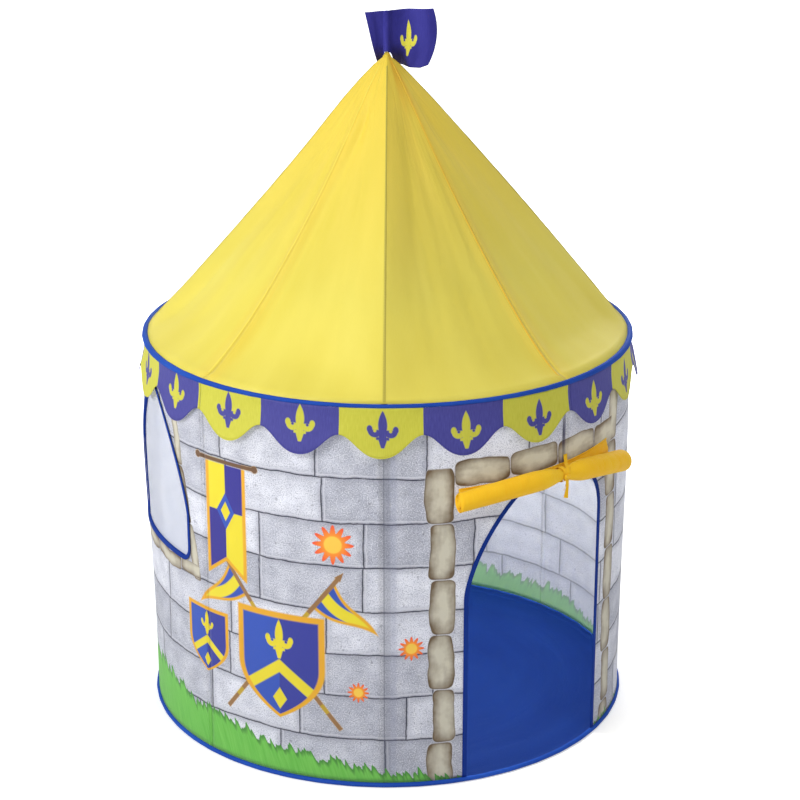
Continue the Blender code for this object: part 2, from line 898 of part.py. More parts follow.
def roll_middle(share):
    """Height of the middle of the roll, which is lifted in its middle by the ribbon."""
    straight = roll_start_height + (roll_end_height - roll_start_height) * share
    return straight + 4 * roll_rise * share * (1 - share)


def roll_size(share):
    """The roll is thinner to the right, and nipped where the ribbon ties it."""
    plain = roll_radius + (roll_far_radius - roll_radius) * share
    from_tie = math.radians(roll_azimuth(share) - tie_azimuth) * wall_radius / roll_tie_width
    return plain + (roll_tie_radius - plain) * math.exp(-from_tie * from_tie)


def door_roll():
    """The curtain rolled up, a lap of cloth showing along it."""
    rest = around(roll_line_radius, tie_azimuth, roll_start_height)
    rings = []
    for i in range(roll_steps + 1):
        share = i / roll_steps
        size = roll_size(share)
        ring = []
        for k in range(roll_sides):
            turn = 2 * math.pi * k / roll_sides
            reach = size - roll_lap * (1 - k / roll_sides)
            radius = roll_line_radius + reach * math.sin(turn)
            height = roll_middle(share) + reach * math.cos(turn)
            ring.append(around(radius, roll_azimuth(share), height) - rest)
        rings.append(ring)
    roll = loft("door_roll", rings, curtain_cloth)
    roll.location = rest


def door_curtain():
    """The stretch of curtain between its seam on the wall and the roll."""
    inset = degrees_along(curtain_side_inset)

    def place(u, v):
        azimuth = roll_start_azimuth + inset + (roll_end_azimuth - roll_start_azimuth - 2 * inset) * u
        height = curtain_lower_edge_height + (curtain_seam_height - curtain_lower_edge_height) * v
        stand_off = gap + (curtain_stand_off - gap) * min(2 * (1 - v), 1)
        return around(wall_radius + stand_off + cloth, azimuth, height)

    sheet("door_curtain", curtain_column_count, curtain_row_count, place, cloth, curtain_cloth)


def door_tie():
    """A ribbon sewn above the curtain's seam, over the front of the roll, with a tail."""
    clear = curtain_stand_off + cloth + gap + gap
    size = roll_tie_radius + gap
    share = (tie_azimuth - roll_start_azimuth) / (roll_end_azimuth - roll_start_azimuth)
    middle = roll_middle(share)
    line = [(wall_radius + gap, tie_sewn_height)]
    line.append((wall_radius + gap + cloth, curtain_seam_height + tie_width))
    line.append((wall_radius + clear, curtain_seam_height + gap))
    for degrees in (60, 30, 0, -30, -60):
        turn = math.radians(degrees)
        line.append((roll_line_radius + size * math.cos(turn), middle + size * math.sin(turn)))
    foot = line[-1]
    line.append((foot[0], foot[1] - tie_tail / 2))
    line.append((foot[0] + tie_thickness, foot[1] - tie_tail))
    out = around(1.0, tie_azimuth, 0)
    across = Vector((0, 0, 1)).cross(out) * (tie_width / 2)
    places = [out * radius + Vector((0, 0, height)) for radius, height in line]
    ends = [places[0] * 2 - places[1], *places, places[-1] * 2 - places[-2]]
    rings = []
    for before, here, after in zip(ends, places, ends[2:]):
        lift = (after - before).normalized().cross(across.normalized()) * tie_thickness
        if lift.dot(out) < 0:
            lift = -lift
        rings.append([here - across, here + across, here + across + lift, here - across + lift])
    loft("door_tie", rings, curtain_cloth)


door_roll()
door_curtain()
door_tie()
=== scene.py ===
# %% [markdown]
# # A castle play tent, dressed in cloth
# The imported model is a play tent: a round tower of printed polyester, with a pointed roof, held
# up by rods. This lesson replaces its plain cloths by sewn ones and gives every piece its finish.
# The imported model stays where it is. It is the frame that everything here is fitted to, so it
# is loaded first.

# %% The fixed frame
import math

import bmesh
import bpy
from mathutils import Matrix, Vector, noise


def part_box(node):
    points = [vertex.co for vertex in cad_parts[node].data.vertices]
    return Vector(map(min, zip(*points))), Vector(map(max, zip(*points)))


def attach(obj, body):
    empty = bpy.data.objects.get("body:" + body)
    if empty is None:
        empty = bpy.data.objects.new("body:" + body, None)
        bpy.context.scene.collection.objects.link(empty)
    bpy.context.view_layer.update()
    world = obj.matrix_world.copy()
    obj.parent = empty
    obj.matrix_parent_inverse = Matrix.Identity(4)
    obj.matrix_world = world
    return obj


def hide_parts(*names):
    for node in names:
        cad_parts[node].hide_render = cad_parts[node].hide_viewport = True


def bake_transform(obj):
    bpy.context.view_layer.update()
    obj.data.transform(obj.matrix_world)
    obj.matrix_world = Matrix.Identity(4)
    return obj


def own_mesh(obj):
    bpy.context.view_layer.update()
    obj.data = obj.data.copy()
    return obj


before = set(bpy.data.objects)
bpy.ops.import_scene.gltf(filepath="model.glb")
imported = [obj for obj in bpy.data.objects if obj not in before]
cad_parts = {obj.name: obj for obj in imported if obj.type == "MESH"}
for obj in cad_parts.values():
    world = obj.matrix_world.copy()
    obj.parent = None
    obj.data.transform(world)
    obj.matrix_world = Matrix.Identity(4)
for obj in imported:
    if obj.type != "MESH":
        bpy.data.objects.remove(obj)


def note_size():
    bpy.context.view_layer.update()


note_size()

# %% [markdown]
# ## Places on a tower
# Almost every piece lies on a round wall. Its place is easier to give as an azimuth, in degrees
# from the front and growing to the right, a radius and a height. One function turns these into
# a point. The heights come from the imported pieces, so the cloths follow the frame.

# %% Places on the tower
radius = 0.5
quarter = math.pi * radius / 2
eave_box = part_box("eave_hoop_tape")
floor_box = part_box("floor_hoop_tape")
eave = (eave_box[0].z + eave_box[1].z) / 2
tube_size = (eave_box[1].z - eave_box[0].z) / 2
wall_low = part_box("wall_panel_back")[0].z
wall_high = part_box("wall_panel_back")[1].z
sides = {"front": 0.0, "right": 90.0, "back": 180.0, "left": 270.0}
cloth_thickness = 0.0007
seam_gap = 0.0006


def around(distance, azimuth, height):
    turn = math.radians(azimuth)
    return Vector((distance * math.sin(turn), -distance * math.cos(turn), height))


def directions(azimuth):
    """The direction outwards at this azimuth, and the one to the right of it."""
    out = around(1.0, azimuth, 0)
    return out, Vector((0, 0, 1)).cross(out)


def wrapped(azimuth):
    """The same azimuth as a number from -180 to 180."""
    return (azimuth + 180) % 360 - 180


def off_pole(azimuth):
    """How many degrees lie between this azimuth and the nearest pole."""
    return abs((azimuth + 45) % 90 - 45)


def degrees(length):
    """The azimuth that this length covers round the wall."""
    return math.degrees(length / radius)


def arc(azimuth):
    """The length round the wall from the front to this azimuth."""
    return radius * math.radians(azimuth)


def fold(point, size, seed):
    """A smooth bump between -1 and 1 that is the same on every run."""
    return noise.noise(point / size + Vector((seed, seed * 0.37, seed * 0.71)))


print("wall from", round(wall_low, 4), "to", round(wall_high, 4), "and eave at", round(eave, 4))

# %% [markdown]
# ## The camera
# The camera comes early, so that each piece can be looked at as the photograph shows it. It
# stands about four and a half metres off and looks down at the tent, with a long lens.

# %% The camera
camera = bpy.data.objects.new("camera", bpy.data.cameras.new("camera"))
bpy.context.scene.collection.objects.link(camera)
camera.location = (0.0591, -4.3413, 2.1548)
camera.rotation_euler = (math.radians(70.74), 0.0, math.radians(0.44))
camera.data.lens = 98.47
camera.data.sensor_width = 36.0
bpy.context.scene.camera = camera
print("camera at", tuple(camera.location))

# %% [markdown]
# ## Arithmetic on a surface
# A printed cloth is a drawing laid flat and then hung. A texture picture could hold it, but a
# drawing made of nodes stays sharp at any distance and needs no file. Each line of such a
# drawing is a little arithmetic on the place on the cloth. The class below lets that be written
# with plus and times signs: each operation adds one Math node.

# %% A number that changes over a surface


class Field:
    """A number that changes over a surface, held by the output of a node."""

    def __init__(self, tree, socket):
        self.tree = tree
        self.socket = socket

    def calc(self, operation, *others, clamp=False):
        node = self.tree.nodes.new("ShaderNodeMath")
        node.operation = operation
        node.use_clamp = clamp
        for socket, value in zip(node.inputs, (self, *others)):
            if isinstance(value, Field):
                self.tree.links.new(value.socket, socket)
            else:
                socket.default_value = value
        return Field(self.tree, node.outputs[0])

    def __add__(self, other):
        return self.calc("ADD", other)

    __radd__ = __add__

    def __sub__(self, other):
        return self.calc("SUBTRACT", other)

    def __mul__(self, other):
        return self.calc("MULTIPLY", other)

    __rmul__ = __mul__

    def __truediv__(self, other):
        return self.calc("DIVIDE", other)

    def __rsub__(self, other):
        return self * -1.0 + other

    def size(self):
        return self.calc("ABSOLUTE")

    def least(self, other):
        return self.calc("MINIMUM", other)

    def most(self, other):
        return self.calc("MAXIMUM", other)

    def over(self, edge, blur):
        """0 below the edge and 1 above it, with a soft step as wide as blur."""
        return (self - edge).calc("MULTIPLY_ADD", 1 / blur, 0.5, clamp=True)

    def under(self, edge, blur):
        return (self - edge).calc("MULTIPLY_ADD", -1 / blur, 0.5, clamp=True)

    def near(self, middle, reach, blur):
        """1 within reach of the middle and 0 beyond."""
        return (self - middle).size().under(reach, blur)


def far_from(x, y):
    """The distance from the point where both are 0."""
    return (x * x + y * y).calc("SQRT")


def paint(red, green, blue):
    """A colour given as a screen shows it, from 0 to 255, as the shader wants it."""
    parts = []
    for part in (red, green, blue):
        share = part / 255
        parts.append(share / 12.92 if share <= 0.04045 else ((share + 0.055) / 1.055) ** 2.4)
    return (*parts, 1.0)


def colour_over(tree, below, above, mask):
    """The colour above, laid over the one below where the mask is 1."""
    node = tree.nodes.new("ShaderNodeMix")
    node.data_type = "RGBA"
    node.clamp_factor = True
    for socket, value in ((node.inputs[0], mask), (node.inputs[6], below), (node.inputs[7], above)):
        if isinstance(value, Field):
            tree.links.new(value.socket, socket)
        elif isinstance(value, bpy.types.NodeSocket):
            tree.links.new(value, socket)
        else:
            socket.default_value = value
    return node.outputs[2]


def painted(tree, base, layers):
    """The base with each layer laid over it in turn, a layer being a colour and its mask."""
    for colour, mask in layers:
        base = colour_over(tree, base, colour, mask)
    return base


print("white paint is", paint(255, 255, 255))

# %% [markdown]
# ## Shared effects
# Each effect that more than one finish needs is a node group, built once. A group here gives
# out only masks, heights and colours. The shader itself stays in each material.

# %% A maker of node groups


def start_group(name, inputs, outputs):
    """An empty node group, the fields of its inputs, and a function that connects an output."""
    tree = bpy.data.node_groups.new(name, "ShaderNodeTree")
    for label, kind, value in inputs:
        socket = tree.interface.new_socket(label, in_out="INPUT", socket_type="NodeSocket" + kind)
        if value is not None:
            socket.default_value = value
    for label, kind in outputs:
        tree.interface.new_socket(label, in_out="OUTPUT", socket_type="NodeSocket" + kind)
    entry = tree.nodes.new("NodeGroupInput")
    end = tree.nodes.new("NodeGroupOutput")
    fields = [Field(tree, socket) for socket in entry.outputs[: len(inputs)]]

    def connect(label, value):
        tree.links.new(getattr(value, "socket", value), end.inputs[label])

    return tree, fields, connect


def use_group(tree, name, **values):
    """Places a group in a material or in another group, with these inputs."""
    node = tree.nodes.new("ShaderNodeGroup")
    node.node_tree = bpy.data.node_groups[name]
    for label, value in values.items():
        if isinstance(value, (Field, bpy.types.NodeSocket)):
            tree.links.new(getattr(value, "socket", value), node.inputs[label])
        else:
            node.inputs[label].default_value = value
    return {socket.name: Field(tree, socket) for socket in node.outputs}


def noise_field(tree, vector, scale, detail=2.0, distortion=0.0):
    """Blender's own noise, from 0 to 1, about this many bumps to the metre."""
    node = tree.nodes.new("ShaderNodeTexNoise")
    node.inputs["Scale"].default_value = scale
    node.inputs["Detail"].default_value = detail
    node.inputs["Distortion"].default_value = distortion
    tree.links.new(getattr(vector, "socket", vector), node.inputs["Vector"])
    return Field(tree, node.outputs[0])


def vector_of(tree, x, y, z=0.0):
    node = tree.nodes.new("ShaderNodeCombineXYZ")
    for socket, value in zip(node.inputs, (x, y, z)):
        if isinstance(value, Field):
            tree.links.new(value.socket, socket)
        else:
            socket.default_value = value
    return Field(tree, node.outputs[0])


# %% [markdown]
# ### Where a point lies on the tower
# The print runs round the wall, so the drawing needs the length round the wall and the height,
# in metres. Both come from Object coordinates. The angle is an arc tangent.

# %% The place on the tower as a group


def make_tower_place():
    tree, _, connect = start_group("tower_place", [], [("Round", "Float"), ("Up", "Float")])
    place = tree.nodes.new("ShaderNodeTexCoord")
    split = tree.nodes.new("ShaderNodeSeparateXYZ")
    tree.links.new(place.outputs["Object"], split.inputs[0])
    x, y, z = (Field(tree, socket) for socket in split.outputs)
    connect("Round", x.calc("ARCTAN2", y * -1.0) * radius)
    connect("Up", z)
    print(tree.name, "has", len(tree.nodes), "nodes")


make_tower_place()

# %% [markdown]
# ### Weave and creases
# Thin polyester is a plain weave. From a step away it only breaks up the gloss, so the threads
# are a fine bump. Creases from being packed flat are wider: noise whose ridges are picked out by
# an absolute value. Both give a height for a Bump node.

# %% Weave and creases as groups
thread = 0.0009


def make_weave():
    inputs = [("Across", "Float", 0.0), ("Along", "Float", 0.0)]
    outputs = [("Height", "Float"), ("Slub", "Float")]
    tree, (across, along), connect = start_group("weave", inputs, outputs)
    rate = math.pi / thread
    warp = (across * rate).calc("SINE").size()
    weft = (along * rate).calc("SINE").size()
    slub = noise_field(tree, vector_of(tree, across * 600.0, along * 60.0), 1.0)
    connect("Height", warp.most(weft) * 0.7 + slub * 0.3)
    connect("Slub", slub)
    print(tree.name, "has threads", thread * 1000, "mm apart")


def make_creases():
    inputs = [("Across", "Float", 0.0), ("Along", "Float", 0.0), ("Size", "Float", 0.1)]
    tree, (across, along, size), connect = start_group("creases", inputs, [("Height", "Float")])
    place = vector_of(tree, across / size, along / size)
    broad = (noise_field(tree, place, 1.0, detail=1.0, distortion=0.6) - 0.5).size()
    fine = (noise_field(tree, place, 3.1, detail=1.0, distortion=1.2) - 0.5).size()
    connect("Height", broad.calc("POWER", 0.7) * 0.8 + fine.calc("POWER", 0.7) * 0.2)
    print(tree.name, "has", len(tree.nodes), "nodes")


make_weave()
make_creases()

# %% [markdown]
# ### The lily
# A fleur-de-lis is an old ornament of shields and banners. In a unit frame, with x to the right
# and y up, it is a pointed middle petal, two side petals that bend up to a bud, a waist, a band
# and a small foot. The drawing is the same left and right, so it starts from the size of x.

# %% The lily as a group


def make_lily():
    inputs = [("X", "Float", 0.0), ("Y", "Float", 0.0)]
    tree, (x, y), connect = start_group("lily", inputs, [("Mask", "Float")])
    soft = 0.05
    side = x.size()
    rise = (y - 0.22) / 0.78
    petal = (side - (1.0 - rise * rise) * 0.22).under(0.0, soft)
    ring = (far_from(side - 0.38, y + 0.08) - 0.21).size()
    arm = ring.under(0.135, soft) * y.under(-0.02, soft)
    bud = far_from((side - 0.63) * 1.1, y * 0.8).under(0.155, soft)
    band = side.under(0.32, soft) * y.near(-0.47, 0.08, soft)
    foot = (side - (y + 1.0) * 0.30).under(0.07, soft) * y.under(-0.46, soft)
    foot = foot * y.over(-0.97, soft)
    waist = side.under(0.19, soft) * y.near(-0.35, 0.15, soft)
    connect("Mask", petal.most(arm).most(bud).most(band).most(foot).most(waist))
    print(tree.name, "has", len(tree.nodes), "nodes")


make_lily()

# %% [markdown]
# ### Stone, rough corner stones and grass
# The tower's cloth is printed as a stone wall. The courses are about 92 mm high. In each the
# joints are shifted by a number that belongs to that course alone, as a mason staggers them.
# Noise bends the lines a little, so that they look drawn by hand, and a pale line beside each
# dark one gives the stones their edge.

# %% The stone wall as a group
course = 0.0915
first_course = 0.012
stone_length = 0.215
joint_half, joint_blur = 0.0013, 0.0016
lit_edge = (0.0052, 0.0014, 0.002)


def make_stones():
    inputs = [("Round", "Float", 0.0), ("Up", "Float", 0.0)]
    tree, (along, up), connect = start_group("stones", inputs, [("Color", "Color")])
    place = vector_of(tree, along, up)
    sway = noise_field(tree, place, 9.0) - 0.5
    jitter = noise_field(tree, place, 60.0) - 0.5
    rows = (up - first_course + sway * 0.016 + jitter * 0.003) / course
    row = rows.calc("FLOOR")
    shift = (row * 12.9898).calc("SINE") * 43.5453
    joints = (along + sway * 0.01 + jitter * 0.003) / stone_length + shift.calc("FRACT") * 0.9
    stone = joints.calc("FLOOR")
    in_row = (rows.calc("FRACT") - 0.5).size() * -course + course / 2
    in_stone = (joints.calc("FRACT") - 0.5).size() * -stone_length + stone_length / 2
    to_joint = in_row.least(in_stone)
    lit_row = (rows.calc("FRACT") * course).near(*lit_edge)
    lit_stone = (joints.calc("FRACT") * stone_length).near(*lit_edge)
    tone = ((stone * 7.13 + row * 3.77).calc("SINE") * 91.7).calc("FRACT")
    cloudy = noise_field(tree, place, 26.0, detail=4.0)
    speckle = noise_field(tree, place, 420.0)
    spots = noise_field(tree, place, 90.0, detail=4.0).over(0.66, 0.06)
    broken = noise_field(tree, place, 45.0).over(0.3, 0.2) * 0.45 + 0.55
    layers = [
        (paint(240, 241, 247), (cloudy - 0.5) * 1.5 + tone * 0.8 + 0.1),
        (paint(134, 136, 150), speckle.over(0.58, 0.12) * 0.5),
        (paint(120, 122, 136), spots * 0.45),
        (paint(250, 250, 252), speckle.under(0.42, 0.1) * 0.55),
        (paint(244, 244, 248), lit_row.most(lit_stone) * 0.85),
        (paint(156, 158, 172), to_joint.under(0.009, 0.012) * 0.4),
        (paint(62, 62, 78), to_joint.under(joint_half, joint_blur) * broken),
    ]
    connect("Color", painted(tree, paint(186, 188, 199), layers))
    print(tree.name, "has", len(tree.nodes), "nodes")


make_stones()

# %% [markdown]
# The corner stones beside the doorway and the window are rounded and brown, and lie end to end
# in a stack. The group draws one stack of them. X runs across the stack and Y along it, both in
# metres, and Half is half of the stack's width.

# %% The stack of corner stones as a group
corner_stone = 0.1165


def make_corner_stones():
    inputs = [("X", "Float", 0.0), ("Y", "Float", 0.0), ("Half", "Float", 0.026)]
    outputs = [("Color", "Color"), ("Mask", "Float"), ("Outline", "Float")]
    tree, (x, y, half), connect = start_group("corner_stones", inputs, outputs)
    sway = noise_field(tree, vector_of(tree, x, y), 13.0) - 0.5
    steps = y / corner_stone + sway * 0.08
    stone = steps.calc("FLOOR")
    odd = ((stone * 5.17).calc("SINE") * 17.3).calc("FRACT") - 0.5
    side = (x + odd * 0.012 + sway * 0.020).size() / (half + odd * 0.008)
    up = (steps.calc("FRACT") - 0.5).size() * 2.0
    round_edge = (side.calc("POWER", 5.0) + up.calc("POWER", 8.0)).calc("POWER", 0.2)
    connect("Mask", round_edge.under(0.975, 0.03))
    connect("Outline", round_edge.near(0.99, 0.02, 0.04))
    grain = noise_field(tree, vector_of(tree, x * 90.0, y * 20.0), 1.0, detail=4.0) - 0.5
    patch = noise_field(tree, vector_of(tree, x, y), 34.0, detail=3.0) - 0.5
    bend = (x + odd * 0.02 + sway * 0.02) / half
    shade = 1.05 - bend * bend * 0.95 + grain * 0.6 + patch * 1.1 - up.calc("POWER", 3.0) * 0.7
    edge_shade = round_edge.over(0.92, 0.10) * 0.6
    layers = [(paint(216, 211, 194), shade), (paint(98, 82, 64), edge_shade)]
    connect("Color", painted(tree, paint(126, 106, 80), layers))
    print(tree.name, "has", len(tree.nodes), "nodes")


make_corner_stones()

# %% [markdown]
# Grass stands along the foot of the wall. Its top edge is a height that changes round the tower,
# plus blades: noise stretched upwards, so that it changes fast along the wall and slowly up it.

# %% The grass as a group


def make_grass():
    inputs = [("Round", "Float", 0.0), ("Up", "Float", 0.0), ("Top", "Float", 0.05)]
    outputs = [("Color", "Color"), ("Mask", "Float")]
    tree, (along, up, top), connect = start_group("grass", inputs, outputs)
    lean = along + up * 0.35
    blades = noise_field(tree, vector_of(tree, lean * 105.0, up * 6.0), 1.0, detail=1.0) - 0.5
    tufts = noise_field(tree, vector_of(tree, along * 24.0, 0.0), 1.0, detail=1.0) - 0.5
    height = top + blades * 0.060 + tufts * 0.03
    connect("Mask", (up - height).under(0.0, 0.002))
    streak = noise_field(tree, vector_of(tree, lean * 260.0, up * 14.0), 1.0)
    green = colour_over(tree, paint(104, 194, 74), paint(148, 220, 108), streak * 1.1 - 0.1)
    tip = (up - height).over(-0.009, 0.010)
    connect("Color", colour_over(tree, green, paint(50, 116, 54), tip * 0.6))
    print(tree.name, "has", len(tree.nodes), "nodes")


make_grass()

# %% [markdown]
# ### Shields, banners, suns and pennants
# The wall carries plain heraldry in blue, yellow and orange, of this lesson's own design: shields
# with a lily over a chevron, hanging banners that end in two points, crossed pennants and small
# suns. Each group works in its own unit frame, so that one drawing serves at several sizes.

# %% Shields as a group
royal_blue = paint(62, 98, 196)
deep_blue = paint(66, 62, 160)
print_yellow = paint(240, 226, 60)
gold = paint(238, 186, 52)


def make_shield():
    inputs = [("X", "Float", 0.0), ("Y", "Float", 0.0), ("Field", "Color", royal_blue)]
    outputs = [("Color", "Color"), ("Mask", "Float")]
    tree, (x, y, field), connect = start_group("shield", inputs, outputs)
    side = x.size()
    low = (y * -1.0).most(0.0)
    waist = 0.82 - low.calc("POWER", 2.2) * 0.86
    edge = (side - waist).most(y - 0.95)
    connect("Mask", edge.under(0.0, 0.03))
    chevron = (y - (-0.02 - side * 0.75)).near(0.0, 0.12, 0.03)
    lily = use_group(tree, "lily", X=x / 0.34, Y=(y - 0.46) / 0.36)["Mask"]
    lozenge = (side * 1.5 + (y + 0.62).size()).under(0.2, 0.03)
    layers = [(deep_blue, x.over(0.0, 0.02) * 0.75)]
    layers += [(print_yellow, mask) for mask in (chevron, lily, lozenge)]
    layers.append((gold, edge.over(-0.11, 0.03)))
    connect("Color", painted(tree, field.socket, layers))
    print(tree.name, "has", len(tree.nodes), "nodes")


make_shield()

# %% Banners, suns and pennants as groups


def make_banner():
    """A cloth that hangs from a bar and ends in two points, in four fields of two colours."""
    inputs = [("X", "Float", 0.0), ("Y", "Float", 0.0)]
    tree, (x, y), connect = start_group("banner", inputs, [("Color", "Color"), ("Mask", "Float")])
    side = x.size()
    tail = y - (-1.0 + (1.0 - side * 2.6) * 0.28).most(-1.0)
    cloth = side.under(0.4, 0.02) * tail.over(0.0, 0.02) * y.under(0.86, 0.02)
    bar = side.under(0.56, 0.02) * y.near(0.9, 0.035, 0.02)
    knob = far_from(side - 0.58, y - 0.9).under(0.06, 0.02)
    lozenge = side * 1.7 + (y - 0.1).size()
    layers = [
        (deep_blue, (x * (y - 0.1)).over(0.0, 0.004)),
        (gold, side.over(0.335, 0.02).most(tail.under(0.07, 0.02))),
        (royal_blue, lozenge.under(0.3, 0.02)),
        (print_yellow, lozenge.under(0.16, 0.02)),
        (paint(128, 96, 70), bar.most(knob)),
    ]
    connect("Color", painted(tree, print_yellow, layers))
    connect("Mask", cloth.most(bar).most(knob))
    print(tree.name, "has", len(tree.nodes), "nodes")


def make_sun():
    inputs = [("X", "Float", 0.0), ("Y", "Float", 0.0)]
    tree, (x, y), connect = start_group("sun", inputs, [("Color", "Color"), ("Mask", "Float")])
    away = far_from(x, y)
    ray = (y.calc("ARCTAN2", x) * 12.0).calc("COSINE")
    reach = ray * 0.20 + 0.78
    connect("Mask", (away - reach).under(0.0, 0.03))
    outer, inner = away.over(0.62, 0.5), away.under(0.42, 0.06)
    layers = [(paint(248, 112, 66), outer), (paint(250, 214, 90), inner)]
    connect("Color", painted(tree, paint(250, 176, 60), layers))
    print(tree.name, "has", len(tree.nodes), "nodes")


def make_pennant():
    """A long pole with a narrow pointed cloth at its top, striped in two colours."""
    inputs = [("X", "Float", 0.0), ("Y", "Float", 0.0)]
    tree, (x, y), connect = start_group("pennant", inputs, [("Color", "Color"), ("Mask", "Float")])
    pole = x.size().under(0.022, 0.01) * y.size().under(0.97, 0.01)
    point = (x.size() * 2.2 + (y - 0.95) * 0.8).size().under(0.06, 0.01) * y.over(0.93, 0.01)
    wave = (x * 9.0).calc("SINE") * 0.03
    half = 0.17 * (1.0 - x / 0.62)
    rise = (y - 0.72 + wave).size()
    cloth = (rise - half).under(0.0, 0.012) * x.over(0.0, 0.01)
    grip = y.near(-0.72, 0.05, 0.01).most(y.near(0.45, 0.03, 0.01))
    wood = colour_over(tree, paint(168, 128, 84), paint(206, 176, 60), grip)
    layers = [
        (print_yellow, rise.under(0.055, 0.012)),
        (gold, (rise - half).over(-0.03, 0.012)),
        (wood, pole.most(point)),
    ]
    connect("Color", painted(tree, royal_blue, layers))
    connect("Mask", cloth.most(pole).most(point))
    print(tree.name, "has", len(tree.nodes), "nodes")


make_banner()
make_sun()
make_pennant()

# %% [markdown]
# ## Finishes
# One function starts each material: it gives the shader's plain numbers, and returns the parts
# that a drawing needs. Cloth gets a soft sheen and a bump made of creases and weave. Its
# patterns read the piece's own UV map, which every sheet below is given in metres.

# %% Starting a finish
weave_share = 0.08


def start_finish(name, roughness, sheen=0.0, metallic=0.0):
    material = bpy.data.materials.new(name)
    material.use_nodes = True
    tree = material.node_tree
    shader = tree.nodes["Principled BSDF"]
    shader.inputs["Roughness"].default_value = roughness
    shader.inputs["Metallic"].default_value = metallic
    shader.inputs["Sheen Weight"].default_value = sheen
    return material, tree, shader


def flat_place(tree):
    """The place on the cloth in metres, across and along, from its own UV map."""
    place = tree.nodes.new("ShaderNodeUVMap")
    place.uv_map = "cloth"
    split = tree.nodes.new("ShaderNodeSeparateXYZ")
    tree.links.new(place.outputs[0], split.inputs[0])
    return Field(tree, split.outputs[0]), Field(tree, split.outputs[1])


def bump(tree, shader, height, depth):
    node = tree.nodes.new("ShaderNodeBump")
    node.inputs["Distance"].default_value = depth
    tree.links.new(getattr(height, "socket", height), node.inputs["Height"])
    tree.links.new(node.outputs[0], shader.inputs["Normal"])


def cloth_bump(tree, shader, across, along, crease=0.12, depth=0.0016):
    """Creases and weave together, the weave much the shallower."""
    creases = use_group(tree, "creases", Across=across, Along=along, Size=crease)["Height"]
    weave = use_group(tree, "weave", Across=across, Along=along)
    bump(tree, shader, creases + weave["Height"] * weave_share, depth)
    return weave["Slub"]


def let_light_through(tree, shader, colour, share):
    """Gives the shader its colour, and lets this share of the light come through the cloth."""
    through = tree.nodes.new("ShaderNodeBsdfTranslucent")
    mix = tree.nodes.new("ShaderNodeMixShader")
    mix.inputs[0].default_value = share
    tree.links.new(colour, shader.inputs["Base Color"])
    tree.links.new(colour, through.inputs["Color"])
    tree.links.new(shader.outputs[0], mix.inputs[1])
    tree.links.new(through.outputs[0], mix.inputs[2])
    tree.links.new(mix.outputs[0], tree.nodes["Material Output"].inputs["Surface"])


def cloth_finish(name, shades, roughness, sheen, crease, depth=0.0016, through=0.2):
    """A dyed cloth in one colour that wavers a little between a light and a dark shade."""
    light, dark = shades
    material, tree, shader = start_finish(name, roughness, sheen)
    across, along = flat_place(tree)
    slub = cloth_bump(tree, shader, across, along, crease, depth)
    broad = noise_field(tree, vector_of(tree, across, along), 7.0)
    colour = colour_over(tree, dark, light, broad * 0.9 + slub * 0.3 - 0.1)
    let_light_through(tree, shader, colour, through)
    print(name, "is a cloth finish")
    return material


# %% [markdown]
# ### The printed wall
# The wall is one drawing all round: stones first, then corner stones, then the grass, then the
# heraldry, each laid over the one before. It reads the tower's own place instead of a UV map,
# so that the four cloths meet at their seams with the drawing unbroken. Each layer has a short
# function, which takes the colour so far and gives the next.

# %% The corner stones beside the openings
first_corner = 0.092
stack_by_door, stack_past_door = 12.6, 65.2
stack_by_window, window_stack_lean = -50.9, 0.23
lintel_stones, sill_stones = 0.657, 0.386
door_stone_half, window_stone_half = 0.027, 0.014


def lay_corner_stones(tree, colour, along, up):
    """Stacks beside the doorway and the window, a row over the one and under the other."""
    by_window = along - arc(stack_by_window) + (up - 0.45) * window_stack_lean
    over_door = along.near(arc(40.0), arc(24.5), 0.004)
    under_window = along.near(arc(-70.0), arc(22.0), 0.004)
    stacks = [
        (along - arc(stack_by_door), up - first_corner, up.under(0.670, 0.003), door_stone_half),
        (along - arc(stack_past_door), up - first_corner * 0.5, 1.0, door_stone_half),
        (by_window, up - 0.02, up.near(0.57, 0.20, 0.004), window_stone_half),
        (up - lintel_stones, along - 0.018, over_door, door_stone_half),
        (up - sill_stones, along + 0.02, under_window, window_stone_half),
    ]
    for x, y, allowed, half in stacks:
        stones = use_group(tree, "corner_stones", X=x, Y=y, Half=half)
        outline = (paint(214, 212, 214), stones["Outline"] * allowed * 0.6)
        stone = (stones["Color"].socket, stones["Mask"] * allowed)
        colour = painted(tree, colour, [outline, stone])
    return colour


print("corner stones beside the doorway are", 2 * door_stone_half, "m wide")

# %% The grass and the heraldry
banners = [(-0.338, 0.530, 0.128), (0.870, 0.46, 0.14)]
pennants = [(-0.215, 0.285, 0.215, 38.0), (-0.215, 0.285, 0.215, -38.0)]
shields = [(-0.215, 0.245, 0.118), (-0.400, 0.252, 0.074)]
suns = [(-0.100, 0.515, 0.042), (0.052, 0.300, 0.026), (-0.052, 0.205, 0.022)]
grass_low, grass_behind, grass_tall = 0.012, 0.05, 0.125
grass_step = 0.063


def lay_grass(tree, colour, along, up):
    """Grass that rises towards the left, and behind steps up until both its ends meet."""
    left = (along * -1.0).calc("MULTIPLY_ADD", 0.155, 0.035).most(grass_low)
    behind = along.size().over(1.0, 0.2) * grass_behind + along.over(1.40, 0.16) * grass_step
    top = left.least(grass_tall).most(behind + grass_low)
    grass = use_group(tree, "grass", Round=along, Up=up, Top=top)
    return colour_over(tree, colour, grass["Color"].socket, grass["Mask"])


